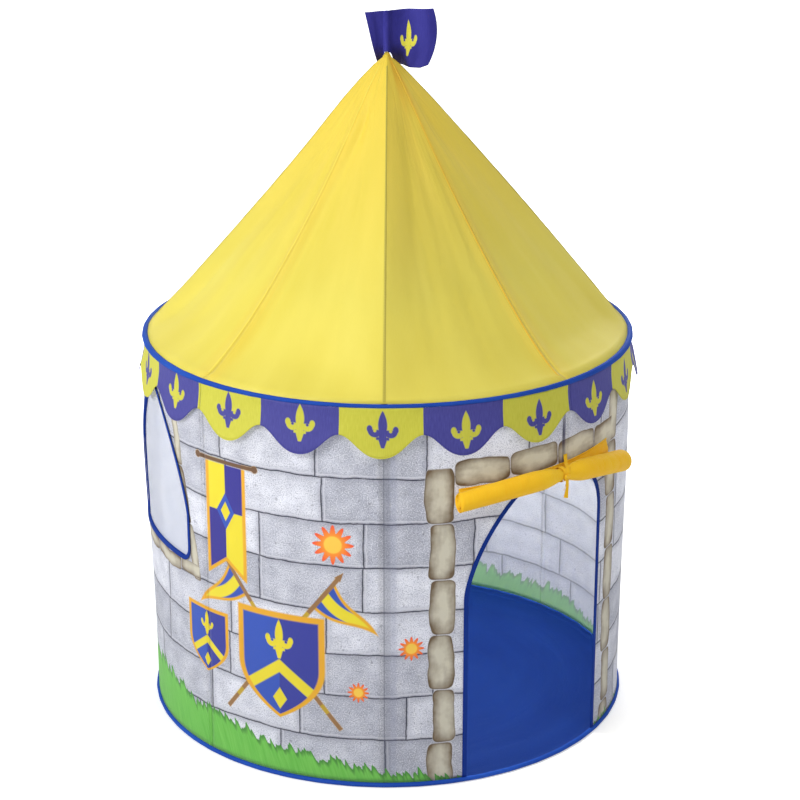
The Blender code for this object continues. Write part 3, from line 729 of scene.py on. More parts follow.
def lay_heraldry(tree, colour, along, up):
    """Pennants that cross, each leaning its own way, and then the upright ornaments."""
    for middle, height, size, lean in pennants:
        x, y = (along - middle) / size, (up - height) / size
        cosine, sine = math.cos(math.radians(lean)), math.sin(math.radians(lean))
        flip = 1.0 if lean > 0 else -1.0
        across = (x * cosine + y * -sine) * flip
        motif = use_group(tree, "pennant", X=across, Y=x * sine + y * cosine)
        colour = colour_over(tree, colour, motif["Color"].socket, motif["Mask"])
    for group, places in (("banner", banners), ("shield", shields), ("sun", suns)):
        for middle, height, size in places:
            x, y = (along - middle) / size, (up - height) / size
            motif = use_group(tree, group, X=x, Y=y)
            colour = colour_over(tree, colour, motif["Color"].socket, motif["Mask"])
    return colour


print("the wall has", len(banners + pennants + shields + suns), "printed ornaments")

# %% The printed wall cloth
wall_seam_azimuth = 43.8
stitch_length = 0.012


def make_wall_finish(name, wash):
    """The printed cloth. A wash of 0 is its printed face, and more is its paler inner face."""
    material, tree, shader = start_finish(name, roughness=0.6, sheen=0.2)
    place = use_group(tree, "tower_place")
    along, up = place["Round"], place["Up"]
    colour = use_group(tree, "stones", Round=along, Up=up)["Color"].socket
    from_pole = ((along / quarter + 0.5).calc("FRACT") - 0.5) * quarter
    # Painted shade: a darker bluish band beside each pole, where the pole in its sleeve shades the
    # cloth. The thin dark line over the pole is its stitching.
    painted_shade_by_pole = from_pole.near(0.011, 0.012, 0.008) * 0.28
    over_pole = from_pole.near(-0.001, 0.0010, 0.0014) * 0.5
    shades = [(paint(140, 146, 172), painted_shade_by_pole), (paint(92, 98, 122), over_pole)]
    colour = painted(tree, colour, shades)
    colour = lay_corner_stones(tree, colour, along, up)
    # Over the seam above the doorway lies a dark band: its stitches, together with painted shade of
    # the fold there.
    stitches = (up / stitch_length).calc("SINE") * 0.25 + 0.6
    seam_stitch_and_shade = along.near(arc(wall_seam_azimuth), 0.0044, 0.0022) * stitches
    colour = colour_over(tree, colour, paint(74, 76, 110), seam_stitch_and_shade)
    colour = lay_grass(tree, colour, along, up)
    colour = lay_heraldry(tree, colour, along, up)
    slub = cloth_bump(tree, shader, along, up, crease=0.16, depth=0.0014)
    colour = colour_over(tree, colour, paint(120, 120, 135), slub.over(0.72, 0.2) * 0.12)
    if wash:
        colour = colour_over(tree, colour, paint(222, 226, 236), wash)
    let_light_through(tree, shader, colour, share=0.42)
    print(name, "has", len(tree.nodes), "nodes of its own")
    return material


wall_finish = make_wall_finish("printed_wall_cloth", wash=0.0)
wall_inner_finish = make_wall_finish("printed_wall_cloth_inside", wash=0.56)

# %% [markdown]
# ### The skirt
# Every 18 degrees the skirt changes between yellow and violet, and each lappet carries a lily
# in the other colour. Dividing the length round the tower by a lappet's length gives a number:
# its whole part counts the lappets, and its fraction is the place on one lappet.

# %% The printed skirt
lappets = 20
lappet_shift = -0.65
lappet_length = 2 * math.pi * radius / lappets
skirt_lily_height = 0.7555


def make_skirt_finish():
    material, tree, shader = start_finish("printed_skirt_cloth", roughness=0.6, sheen=0.05)
    place = use_group(tree, "tower_place")
    round_place = place["Round"] - arc(lappet_shift)
    count = round_place / lappet_length + (2 * lappets + 0.5)
    odd = (count.calc("FLOOR") * 0.5).calc("FRACT").over(0.25, 0.1)
    x = (count.calc("FRACT") - 0.5) * lappet_length - 0.003
    middle = (round_place * -0.06).most(-0.008).least(0.004) + skirt_lily_height
    lily = use_group(tree, "lily", X=x / 0.0385, Y=(place["Up"] - middle) / 0.0368)["Mask"]
    slub = cloth_bump(tree, shader, place["Round"], place["Up"], crease=0.05, depth=0.0012)
    yellow = colour_over(tree, paint(198, 195, 46), paint(222, 219, 80), slub)
    violet = colour_over(tree, paint(50, 48, 132), paint(80, 79, 170), slub)
    ground = colour_over(tree, yellow, violet, odd)
    motif = colour_over(tree, violet, yellow, odd)
    let_light_through(tree, shader, colour_over(tree, ground, motif, lily), share=0.15)
    print("printed skirt repeats every", round(lappet_length, 4), "m")
    return material


skirt_finish = make_skirt_finish()

# %% [markdown]
# ### The flag
# The flag is violet with one yellow lily near the stick. Its UV map starts at its own lower
# corner, so the lily is placed from there.

# %% The printed flag
flag_lily_across, flag_lily_along = 0.1076, 0.0535


def make_flag_finish():
    material, tree, shader = start_finish("printed_flag_cloth", roughness=0.6)
    across, along = flat_place(tree)
    slub = cloth_bump(tree, shader, across, along, crease=0.04, depth=0.0012)
    x, y = (across - flag_lily_across) / 0.0165, (along - flag_lily_along) / 0.0342
    lily = use_group(tree, "lily", X=x, Y=y)["Mask"]
    broad = noise_field(tree, vector_of(tree, across * 3.0, along * 0.6), 9.0)
    wavering = broad * 1.8 + slub * 0.3 - 0.6
    violet = colour_over(tree, paint(38, 36, 116), paint(70, 68, 162), wavering)
    yellow = colour_over(tree, paint(206, 198, 60), paint(228, 222, 92), slub)
    let_light_through(tree, shader, colour_over(tree, violet, yellow, lily), share=0.05)
    print("printed flag is ready")
    return material


flag_finish = make_flag_finish()

# %% [markdown]
# ### Dyed cloths
# The floor, the curtain, the tapes and the sleeves are each dyed in one colour. A dye never
# takes quite evenly, so each has two shades that noise mixes.

# %% The dyed cloths
floor_blues = (paint(24, 60, 144), paint(10, 42, 118))
curtain_yellows = (paint(255, 224, 60), paint(255, 178, 4))
tape_blues = (paint(42, 90, 186), paint(18, 52, 146))
binding_blues = (paint(26, 62, 152), paint(8, 34, 110))
sleeve_greys = (paint(206, 207, 216), paint(186, 188, 200))
tape_feel = {"roughness": 0.7, "sheen": 0.0, "crease": 0.03, "depth": 0.0006, "through": 0.0}
floor_feel = {"roughness": 0.7, "sheen": 0.0, "crease": 0.3, "depth": 0.006, "through": 0.0}
curtain_feel = {"roughness": 0.5, "sheen": 0.04, "crease": 0.05, "depth": 0.004, "through": 0.04}
floor_finish = cloth_finish("blue_floor_cloth", floor_blues, **floor_feel)
curtain_finish = cloth_finish("orange_curtain_cloth", curtain_yellows, **curtain_feel)
tape_finish = cloth_finish("blue_edge_tape", tape_blues, **tape_feel)
binding_finish = cloth_finish("dark_blue_binding", binding_blues, **tape_feel)
sleeve_finish = cloth_finish("grey_sleeve_cloth", sleeve_greys, 0.6, 0.2, crease=0.05)

# %% [markdown]
# ### The roof's yellow
# The roof is one yellow. Towards the peak it turns deeper and more orange, most of all by the seam
# on the front's right. Warm streaks run down beside the seams, where the layers overlap.

# %% The roof's finish


def make_roof_finish():
    material, tree, shader = start_finish("yellow_roof_cloth", roughness=0.5, sheen=0.08)
    across, along = flat_place(tree)
    slub = cloth_bump(tree, shader, across, along, crease=0.22, depth=0.0022)
    place = use_group(tree, "tower_place")
    broad = noise_field(tree, vector_of(tree, place["Round"] * 3.0, along), 3.0)
    turn = place["Round"] / quarter
    by_seam = (turn.calc("FRACT") - 0.5).size().under(0.035, 0.07)
    streaky = noise_field(tree, vector_of(tree, turn * 30.0, along), 4.0)
    by_right_seam = (place["Round"] - arc(38.0)).near(0.0, arc(15.0), 0.08)
    layers = [
        (paint(240, 228, 102), broad * 1.2 + slub * 0.3 - 0.3),
        (paint(240, 196, 30), by_seam * streaky * 0.55),
        (paint(248, 206, 24), place["Up"].over(1.16, 0.42) * (broad + 0.3) * 0.7),
        (paint(240, 176, 10), by_right_seam * place["Up"].over(1.30, 0.10) * 0.6),
    ]
    colour = painted(tree, paint(226, 210, 70), layers)
    let_light_through(tree, shader, colour, share=0.16)
    print("roof finish has", len(tree.nodes), "nodes")
    return material


roof_finish = make_roof_finish()

# %% [markdown]
# ### The net
# The window is closed by a fine white net. Its threads are thinner than a pixel, so the net is
# drawn as what it does to light: most of it is seen through, and more of it shows where a
# thread is near. Alpha carries this, because every viewer can read it.

# %% The net's finish
net_pitch = 0.0022


def make_net_finish():
    material, tree, shader = start_finish("white_net", roughness=0.7, sheen=0.1)
    across, along = flat_place(tree)
    rate = math.pi / net_pitch
    knots = (across * rate).calc("SINE").size().most((along * rate).calc("SINE").size())
    thread_mask = knots.over(0.86, 0.2)
    tree.links.new((thread_mask * 0.45 + 0.22).socket, shader.inputs["Alpha"])
    broad = noise_field(tree, vector_of(tree, across, along), 14.0)
    colour = colour_over(tree, paint(196, 202, 218), paint(226, 228, 236), broad)
    tree.links.new(colour, shader.inputs["Base Color"])
    print("net has threads", net_pitch * 1000, "mm apart")
    return material


net_finish = make_net_finish()

# %% [markdown]
# ### Rods, joints and hoops
# The poles are pale fibreglass with fine lengthwise scratches. The joints and the hub are
# moulded black plastic with a fine grain, and the hoops are spring steel. All but the roof's
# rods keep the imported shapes, and their patterns read Object coordinates.

# %% Finishes for the hard pieces


def hard_finish(name, shades, roughness, stretch, depth, metallic=0.0):
    """Colour, gloss and bump that waver together, stretched along the piece."""
    light, dark = shades
    material, tree, shader = start_finish(name, roughness, metallic=metallic)
    place = tree.nodes.new("ShaderNodeTexCoord")
    spread = tree.nodes.new("ShaderNodeMapping")
    spread.inputs["Scale"].default_value = stretch
    tree.links.new(place.outputs["Object"], spread.inputs["Vector"])
    grain = noise_field(tree, spread.outputs[0], 1.0, detail=4.0)
    tree.links.new(colour_over(tree, dark, light, grain), shader.inputs["Base Color"])
    tree.links.new((grain * 0.3 + (roughness - 0.15)).socket, shader.inputs["Roughness"])
    bump(tree, shader, grain, depth)
    print(name, "is a hard finish")
    return material


pale_greys = (paint(228, 230, 236), paint(206, 210, 220))
near_blacks = (paint(44, 44, 48), paint(28, 28, 32))
steel_greys = (paint(196, 198, 202), paint(160, 162, 168))
pole_finish = hard_finish("pale_fibreglass", pale_greys, 0.4, (900, 900, 30), 0.0001)
joint_finish = hard_finish("black_moulding", near_blacks, 0.5, (700, 700, 700), 0.0002)
steel_finish = hard_finish("spring_steel", steel_greys, 0.35, (60, 60, 900), 0.0001, metallic=1.0)
steel_nodes = ("floor_hoop", "eave_hoop", "floor_hoop_ferrule", "eave_hoop_ferrule")
pole_nodes = ("flag_stick", "lower_wall_pole", "upper_wall_pole", "roof_pole")
joint_nodes = ("apex_hub", "pole_ferrule", "eave_elbow")
for name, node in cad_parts.items():
    if name in steel_nodes:
        node.data.materials[0] = steel_finish
    elif name.startswith(pole_nodes):
        node.data.materials[0] = pole_finish
    elif name.startswith(joint_nodes):
        node.data.materials[0] = joint_finish
for finish in (floor_finish, tape_finish, binding_finish, curtain_finish, flag_finish):
    finish.node_tree.nodes["Principled BSDF"].inputs["Specular IOR Level"].default_value = 0.1
print("hard pieces have their finishes")

# %% [markdown]
# ## Cloth as a sheet
# Each cloth starts as one flat grid, like the cut piece on the sewing table. A function then
# takes every point to its place, and a Solidify modifier gives the cloth its thickness on the
# inner side. The grid's own shares become the UV map, in metres, so a weave keeps its size.

# %% A sheet of cloth


def link(name, mesh, finish):
    obj = bpy.data.objects.new(name, mesh)
    mesh.materials.append(finish)
    mesh.shade_smooth()
    bpy.context.scene.collection.objects.link(obj)
    return obj


def cloth(name, flat, counts, place, finish, thickness=cloth_thickness, joined=False, inner=None):
    """A sheet cut to flat, divided into counts, with its outer face where place says."""
    bm = bmesh.new()
    bmesh.ops.create_grid(bm, x_segments=counts[0], y_segments=counts[1], size=1.0)
    layer = bm.loops.layers.uv.new("cloth")
    shares = {vert: ((vert.co.x + 1) / 2, (vert.co.y + 1) / 2) for vert in bm.verts}
    for face in bm.faces:
        for loop in face.loops:
            u, v = shares[loop.vert]
            loop[layer].uv = (u * flat[0], v * flat[1])
    for vert, (u, v) in shares.items():
        vert.co = place(u, v)
    if joined:
        bmesh.ops.remove_doubles(bm, verts=bm.verts, dist=1e-6)
        bmesh.ops.dissolve_degenerate(bm, edges=bm.edges, dist=1e-7)
    mesh = bpy.data.meshes.new(name)
    bm.to_mesh(mesh)
    bm.free()
    obj = link(name, mesh, finish)
    if thickness:
        shell = obj.modifiers.new("thickness", "SOLIDIFY")
        shell.thickness = thickness
        shell.offset = -1
        if inner:
            mesh.materials.append(inner)
            shell.material_offset = 1
    return obj


def settle(obj):
    """Makes what the modifiers show the piece's own mesh."""
    graph = bpy.context.evaluated_depsgraph_get()
    mesh = bpy.data.meshes.new_from_object(obj.evaluated_get(graph))
    obj.modifiers.clear()
    obj.data = mesh
    return obj


def sewn(obj, node, flat, share=1.0, body="tent"):
    """Says what the sheet is, what it stands for and what it moves with."""
    if body:
        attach(obj, body)
    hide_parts(node)
    area = None if share == 1.0 else share * flat[0] * flat[1]
    print(obj.name, "replaces", node, "and is cut from", [round(x, 3) for x in flat], "m")


# %% [markdown]
# ## The openings' outlines
# The doorway has a long sloping shoulder on its left and a small round one on its right. The
# window is a pointed arch on a flat sill. Each outline is a list of lengths round the wall and
# heights. A curve of the form x to a power plus y to a power gives all the shoulders.

# %% The outlines
door_left, door_right, door_top = arc(18.9), arc(58.0), 0.616
door_right_top = 0.596
window_azimuth = -69.4
window_middle, window_half = arc(window_azimuth), 0.151
window_sill, window_spring, window_top = 0.409, 0.500, 0.738
arch_power = 1.35


def quarter_curve(corner, reach, power, steps):
    """From the upright side, over the shoulder, to the flat top, as shares of reach."""
    points = []
    for i in range(steps + 1):
        turn = math.pi / 2 * i / steps
        across = 1 - math.cos(turn) ** (2 / power)
        up = math.sin(turn) ** (2 / power)
        points.append((corner[0] + reach[0] * across, corner[1] - reach[1] * (1 - up)))
    return points


def divided(points, longest=0.008):
    """The same line with every stretch at most this long."""
    result = [points[0]]
    for start, end in zip(points, points[1:]):
        count = max(1, math.ceil(math.dist(start, end) / longest))
        for i in range(1, count + 1):
            result.append(tuple(a + (b - a) * i / count for a, b in zip(start, end)))
    return result


def door_line(low):
    left = quarter_curve((door_left, door_top), (0.150, 0.220), 1.5, 20)
    right = quarter_curve((door_right, door_right_top), (-0.072, 0.095), 2, 12)
    return divided([(door_left, low), *left, *right[::-1], (door_right, low)])


def window_line():
    rise = window_top - window_spring
    corner, reach = (window_middle - window_half, window_top), (window_half, rise)
    arch = quarter_curve(corner, reach, arch_power, 24)
    sill = quarter_curve((window_middle + window_half, -window_sill), (-0.02, 0.02), 2, 5)
    sill = [(s, -z) for s, z in sill]
    left_sill = [(2 * window_middle - s, z) for s, z in sill[::-1]]
    right = [(2 * window_middle - s, z) for s, z in arch[::-1]]
    return divided([*arch, *right[1:], *sill, *left_sill, arch[0]])[:-1]


def away_from(points, distance, closed):
    """Each point moved away from the opening by this distance."""
    moved = []
    for i, (s, z) in enumerate(points):
        before = points[i - 1] if closed or i else points[i]
        after = points[(i + 1) % len(points)] if closed or i < len(points) - 1 else points[i]
        run, climb = after[0] - before[0], after[1] - before[1]
        length = math.hypot(run, climb)
        moved.append((s - distance * climb / length, z + distance * run / length))
    return moved


print("doorway", round(door_right - door_left, 3), "m wide, window", 2 * window_half, "m wide")

# %% [markdown]
# ## Walls
# The walls are taut between the two hoops, with soft hollows between the poles and a little
# pucker along the rims. Noise moves each point inwards, and the shift fades to nothing at the
# seams, at the openings and at the rims, where other pieces hold the cloth. The photo shows the
# wall bowed outwards beside the left and the right pole, so a second function adds that.

# %% How the walls hang
hollow = 0.0032
pole_bows = ((-88, 0.0115), (88, 0.0050))
bow_spread, bow_middle, bow_reach = 17, 0.55, 0.24
held_spans = ((door_left, door_right, door_top), (arc(-87.6), arc(-51.2), window_top))


def hold(distance, reach):
    """0 at the place that holds the cloth, rising smoothly to 1 at reach."""
    share = max(0.0, min(1.0, distance / reach))
    return share * share * (3 - 2 * share)


def belly(azimuth, height):
    """How far the wall stands out beside the left and the right pole, which bow a little."""
    held = hold(wall_high - height, 0.09) * hold(height - wall_low, 0.12)
    out = 0.0
    for middle, most in pole_bows:
        out += most * math.exp(-((wrapped(azimuth - middle) / bow_spread) ** 2))
    return out * held * math.exp(-(((height - bow_middle) / bow_reach) ** 2))


def wall_shift(azimuth, height):
    """How far the wall's cloth lies inside its round."""
    from_pole = off_pole(azimuth)
    free = hold(radius * math.radians(from_pole) - 0.012, 0.05)
    free *= hold(radius * math.radians(45 - from_pole) - 0.004, 0.05)
    free *= hold(height - wall_low, 0.05) * hold(wall_high - height, 0.04)
    s = arc(wrapped(azimuth))
    for low, high, top in held_spans:
        away = math.hypot(max(low - s, s - high, 0.0), max(height - top, 0.0))
        free *= hold(away - 0.012, 0.05)
    place = around(radius, azimuth, height * 0.6)
    broad = 0.5 + 0.5 * fold(place, 0.16, 3.0)
    pucker = fold(around(radius, azimuth, height * 0.15), 0.025, 9.0)
    near_rim = max(0.0, 1 - (height - wall_low) / 0.12) + max(0.0, 1 - (wall_high - height) / 0.12)
    return hollow * free * (broad + 0.35 * near_rim * pucker + 0.15 * fold(place, 0.05, 5.0))


print("the wall stands out by", round(1000 * belly(-88, bow_middle), 1), "mm at the left pole")

# %% [markdown]
# The openings are cut by a Boolean modifier with a prism, and the result is made the piece's own
# mesh, so that nothing is left to compute. A prism is its outline as one face, extruded.

# %% The cutters for the openings
door_azimuth = 38.45
cut_clear = 0.0016


def prism(name, points, middle):
    """A straight block through the wall with this outline, square to the wall at the middle."""
    out, across = directions(middle)
    bm = bmesh.new()
    ring = []
    for s, z in points:
        turn = s / radius - math.radians(middle)
        place = across * (radius * math.sin(turn)) + out * 0.35
        ring.append(bm.verts.new((place.x, place.y, z)))
    face = bm.faces.new(ring)
    grown = bmesh.ops.extrude_face_region(bm, geom=[face])
    moved = [item for item in grown["geom"] if isinstance(item, bmesh.types.BMVert)]
    bmesh.ops.translate(bm, verts=moved, vec=out * 0.3)
    bmesh.ops.recalc_face_normals(bm, faces=bm.faces)
    mesh = bpy.data.meshes.new(name)
    bm.to_mesh(mesh)
    bm.free()
    return link(name, mesh, wall_finish)


door_edge = away_from(door_line(-0.02), cut_clear, closed=False)
window_edge = away_from(window_line(), cut_clear, closed=True)
door_prism = prism("door_prism", door_edge, door_azimuth)
window_prism = prism("window_prism", window_edge, window_azimuth)
print("cutters have", len(door_edge), "and", len(window_edge), "points")

# %% [markdown]
# About half way between the poles the cloths are joined by a welt: their edges are turned in
# together and stitched flat. The welt is a thin strip a little proud of the wall.

# %% The welts between the walls
welt = 0.0046


def wall_seam(name, azimuth):
    """The welt that joins two wall cloths, over the doorway only as long as the cloth there."""
    low = door_top + 0.0095 if azimuth < 45 else wall_low

    def place_seam(u, v):
        across = welt * (u - 0.5)
        height = low + (wall_high - low) * v
        lift = 0.0007 * (1 - (2 * u - 1) ** 4)
        lift += 0.0003 * fold(Vector((azimuth, 0, height)), 0.02, 2.0) * (1 - (2 * u - 1) ** 2)
        out = radius + belly(azimuth, height) + 0.0001 + lift
        return around(out, azimuth + degrees(across), height)

    seam = cloth(name, (welt, wall_high - low), (8, 60), place_seam, wall_finish, 0)
    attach(seam, "tent")
    return seam


print("welts are", welt * 1000, "mm wide")

# %% [markdown]
# The print is on the outer face only, so the inner face of each wall has a paler finish. Each
# wall's share is how much of its flat cloth is left once its opening is cut out.

# %% The wall cloths
wall_flat = (2 * math.pi * radius / 4, wall_high - wall_low)
wall_cuts = {"front": [door_prism], "right": [door_prism], "left": [window_prism], "back": []}
wall_shares = {"front": 0.86, "right": 0.88, "left": 0.86, "back": 1.0}
for side, middle in sides.items():

    def place_wall(u, v):
        azimuth = middle + (90 - degrees(seam_gap)) * (u - 0.5)
        height = wall_low + (wall_high - wall_low) * v
        out = radius + belly(azimuth, height) - wall_shift(azimuth, height)
        return around(out, azimuth, height)

    name, counts = "wall_cloth_" + side, (100, 70)
    wall = cloth(name, wall_flat, counts, place_wall, wall_finish, inner=wall_inner_finish)
    for block in wall_cuts[side]:
        cut = wall.modifiers.new(block.name, "BOOLEAN")
        cut.operation = "DIFFERENCE"
        cut.solver = "EXACT"
        cut.object = block
    settle(wall)
    seam = wall_seam("wall_seam_" + side, middle + wall_seam_azimuth)
    sewn(
        wall,
        "wall_panel_" + side,
        flat=wall_flat,
        share=wall_shares[side],
    )
for block in (door_prism, window_prism):
    bpy.data.objects.remove(block)

# %% [markdown]
# ## The roof
# Four roof poles crease the cloth over them. At the eave the cloth follows the round hoop, and
# higher up it lies almost flat between the poles. The photo shows the left pole straight and the
# right one bowed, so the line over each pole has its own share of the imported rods' bow, and only
# its two ends follow them fully. Long soft folds fan out from the peak where the cloth is slack.

# %% The roof's surface
roof_foot_radius, roof_foot_height = 0.4973, 0.8036
peak_radius, peak_height = 0.0075, 1.366
roof_bow = 0.020
bow_share, bow_to_right = 0.2, 0.4
low_end, high_end = 0.09, 0.21
flat_between, flat_power = 0.85, 0.45
gather_from, gather_length = 0.972, 0.028
peak_lift, peak_hole = 0.0062, 0.0036


def ridge_place(azimuth, share):
    """How far out and how high the cloth is over a pole, share being 0 at the eave."""
    straight = roof_foot_radius + (peak_radius - roof_foot_radius) * share
    height = roof_foot_height + (peak_height - roof_foot_height) * share
    by_ends = math.exp(-((share / low_end) ** 2)) + math.exp(-(((1 - share) / high_end) ** 2))
    bowed = bow_share + bow_to_right * math.sin(math.radians(azimuth))
    bowed += (1 - bowed) * min(1, by_ends)
    return straight + 4 * roof_bow * bowed * share * (1 - share), height


def roof_place(azimuth, share, shift=0.0):
    """The roof's outer face, moved inwards by shift."""
    ridge, height = ridge_place(azimuth, share)
    half = math.radians(45)
    four_sided = math.cos(half) / math.cos(math.radians(azimuth % 90) - half)
    flatness = flat_between * share**flat_power
    reach = ridge * (1 - flatness * (1 - four_sided)) - shift
    gathered = hold(share - gather_from, gather_length)
    lifted = peak_lift * gathered - shift * 0.8
    return around(reach + (peak_hole - reach) * gathered, azimuth, height + lifted)


def roof_shift(azimuth, share):
    """Slack between the poles: broad hollows, and folds that fan out from the peak."""
    from_pole = off_pole(azimuth) / 45
    width = max(0.05, 1 - share) * radius * math.pi / 4
    free = hold(from_pole * width - 0.004, 0.06) * hold((1 - from_pole) * width, 0.03)
    free *= hold(share, 0.1) * hold(1 - share, 0.3)
    fan = fold(Vector((azimuth * 0.035, share * 0.6, 0)), 0.42, 4.0)
    slack = fold(Vector((azimuth * 0.012 + share * 0.5, share * 1.1, 0)), 0.36, 8.0)
    fine = fold(Vector((azimuth * 0.10, share * 1.2, 0)), 0.30, 6.0)
    return free * (0.0050 + 0.0040 * fan + 0.0060 * slack + 0.0006 * fine)


print("roof rises", round(peak_height - roof_foot_height, 3), "m")

# %% [markdown]
# The roof's four seams lie about half way between the poles. Each is a flat welt, and on the
# right its orange thread shows from a distance. A narrow strip follows the same surface a hair
# above it, with two rows of stitches in its finish. Over each pole the cloth is creased, and a
# thin olive strip from the eave to the peak is the painted shade of that crease.

# %% The finishes of seams and creases
roof_stitch = 0.006
stitch_rows = (0.0012, 0.0036)


def make_roof_seam_finish(name, light, dark, stitch_colour):
    material, tree, shader = start_finish(name, roughness=0.5, sheen=0.08)
    across, along = flat_place(tree)
    dashes = (along / roof_stitch).calc("FRACT").near(0.5, 0.36, 0.1)
    first_row, second_row = (across.near(row, 0.0006, 0.0004) for row in stitch_rows)
    stitches = dashes * first_row.most(second_row) * 0.9
    slub = cloth_bump(tree, shader, across, along, crease=0.03, depth=0.0006)
    tone_along = noise_field(tree, vector_of(tree, 0.0, along), 9.0)
    layers = [(light, slub * 0.4 + tone_along * 0.8 - 0.1), (stitch_colour, stitches)]
    let_light_through(tree, shader, painted(tree, dark, layers), share=0.2)
    return material


orange_thread = paint(240, 186, 36)
seam_colours = {
    "roof_seam": (paint(242, 214, 66), paint(232, 196, 44), orange_thread),
    "roof_seam_pale": (paint(246, 234, 104), paint(244, 226, 84), paint(244, 224, 80)),
    # The crease strip's olive colours are painted shade along the crease over each pole.
    "roof_crease": (paint(206, 192, 74), paint(184, 170, 58), paint(186, 172, 60)),
}
seam_finishes = {name: make_roof_seam_finish(name, *parts) for name, parts in seam_colours.items()}
print("roof has", len(seam_finishes), "finishes for its seams and creases")

# %% [markdown]
# The four roof rods are fibreglass and take the bend that the cloth holds them in. Each is drawn
# again just under the cloth, between the same elbow and the same socket of the hub.

# %% The roof's rods
rod_low, rod_high = 0.024, 0.936
rod_size, rod_depth = 0.004, 0.0095
rod_flat = (0.025, 0.68)
rod_wall = 0.0015
for side, middle in sides.items():

    def place_rod(u, v):
        share = rod_low + (rod_high - rod_low) * v
        reach, height = ridge_place(middle, share)
        next_reach, next_height = ridge_place(middle, share + 0.001)
        run, climb = next_reach - reach, next_height - height
        step = math.hypot(run, climb)
        turn = 2 * math.pi * u
        depth = rod_depth - rod_size * math.cos(turn)
        spot = around(reach - depth * climb / step, middle, height + depth * run / step)
        return spot + directions(middle)[1] * rod_size * math.sin(turn)

    name, counts = "roof_rod_" + side, (16, 60)
    rod = cloth(name, rod_flat, counts, place_rod, pole_finish, rod_wall, joined=True)
    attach(rod, "tent")
    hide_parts("roof_pole_" + side)
print("roof rods are", 2000 * rod_size, "mm thick")

# %% [markdown]
# The four cloths meet at the seams. Each strip for a seam or a crease gets narrower towards the
# peak, and its two edges lie on the cloth.

# %% The roof's cloths, seams and creases
strip_start, strip_length = 0.004, 0.965
strip_above = 0.0002


def roof_strip(name, kind, azimuth, width, lift):
    """A strip that follows the roof from the eave to the peak at this azimuth."""

    def place_strip(u, v):
        share = strip_start + strip_length * v
        near = roof_place(azimuth, share)
        reach = max(0.02, math.hypot(near.x, near.y))
        slim = 1 - 0.55 * share
        turn = math.degrees(width * slim * (u - 0.5) / reach)
        raised = lift * (1 - (2 * u - 1) ** 4)
        raised += 0.0003 * fold(Vector((azimuth, 0, share)), 0.03, 1.0)
        shift = roof_shift(azimuth + turn, share) - strip_above - raised
        return roof_place(azimuth + turn, share, shift)

    strip = cloth(name, (width, 0.75), (8, 90), place_strip, seam_finishes[kind], 0)
    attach(strip, "tent")
    return strip


roof_flat = (2 * math.pi * roof_foot_radius / 4, 0.76)
roof_seam_azimuth = 44.1
gore_share = 0.52
for side, middle in sides.items():

    def place_roof(u, v):
        gap = degrees(0.0002) / max(0.03, 1 - v)
        azimuth = middle + (90 - min(gap, 4.0) * hold(1 - v, 0.05)) * (u - 0.5)
        return roof_place(azimuth, v, roof_shift(azimuth, v))

    roof = cloth("roof_cloth_" + side, roof_flat, (96, 72), place_roof, roof_finish, 0.0006)
    on_left = middle > 150
    kind, lift = ("roof_seam_pale", 0.0002) if on_left else ("roof_seam", 0.0006)
    seam = roof_strip("roof_seam_" + side, kind, middle + roof_seam_azimuth, 0.0048, lift)
    # The crease strip is a thin olive line of painted shade over the pole.
    crease = roof_strip("roof_crease_" + side, "roof_crease", middle, 0.0056, 0.0001)
    sewn(
        roof,
        "roof_gore_" + side,
        flat=roof_flat,
        share=gore_share,
    )

# %% [markdown]
# ## The rims
# The hoops are held in a tube of folded tape. Its two edges meet on the inner side, where they
# catch the edges of the wall and the roof. The tube is a sheet like the rest: one share goes
# round its section and the other round the tower, where the two ends are merged. Between its
# stitches the tape runs a little straighter than the hoop. The tube at the eave is slack, and
# stands wider at the left and the right, as the photo shows.

# %% The rims' tape
tape_mouth = math.radians(172)
stitch_step = 7.5


def rim_tape(name, node, height, size, swell=0.0):
    """Tape folded round a hoop, with a faint pucker from its stitches."""

    def place_tape(u, v):
        turn = 2 * tape_mouth * v - tape_mouth
        azimuth = 360 * u
        within = azimuth % stitch_step - stitch_step / 2
        half_step = math.radians(stitch_step / 2)
        chord = math.cos(half_step) / math.cos(math.radians(within))
        middle = (radius + 0.001) * (chord * 0.5 + 0.5 * (1 + math.cos(half_step)) / 2)
        wider = 1 + swell * math.sin(math.radians(azimuth)) ** 2
        reach = size * wider + 0.0001 * fold(around(1.0, azimuth, turn * 0.02), 0.012, 7.0)
        return around(middle + reach * math.cos(turn), azimuth, height + reach * math.sin(turn))

    flat = (2 * math.pi * radius, 2 * tape_mouth * size)
    obj = cloth(name, flat, (288, 22), place_tape, tape_finish, 0.0009, joined=True)
    sewn(obj, node, flat)


floor_rim_height = (floor_box[0].z + floor_box[1].z) / 2
rim_tape("floor_rim", "floor_hoop_tape", floor_rim_height, tube_size + 0.0001)
rim_tape("eave_rim", "eave_hoop_tape", eave, tube_size * 0.82, swell=0.8)

# %% [markdown]
# ## The floor
# The floor cloth is a disc sewn in at the rim, where its edge turns up to meet the wall. It lies
# on the ground with shallow waves. It is made from a grid too: one side of the grid becomes the
# centre, and the two ends that meet are merged.

# %% The floor cloth
floor_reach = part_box("floor_sheet")[1].x
floor_top, edge_rise = 0.0014, 0.0068
disc_share = math.pi / 4


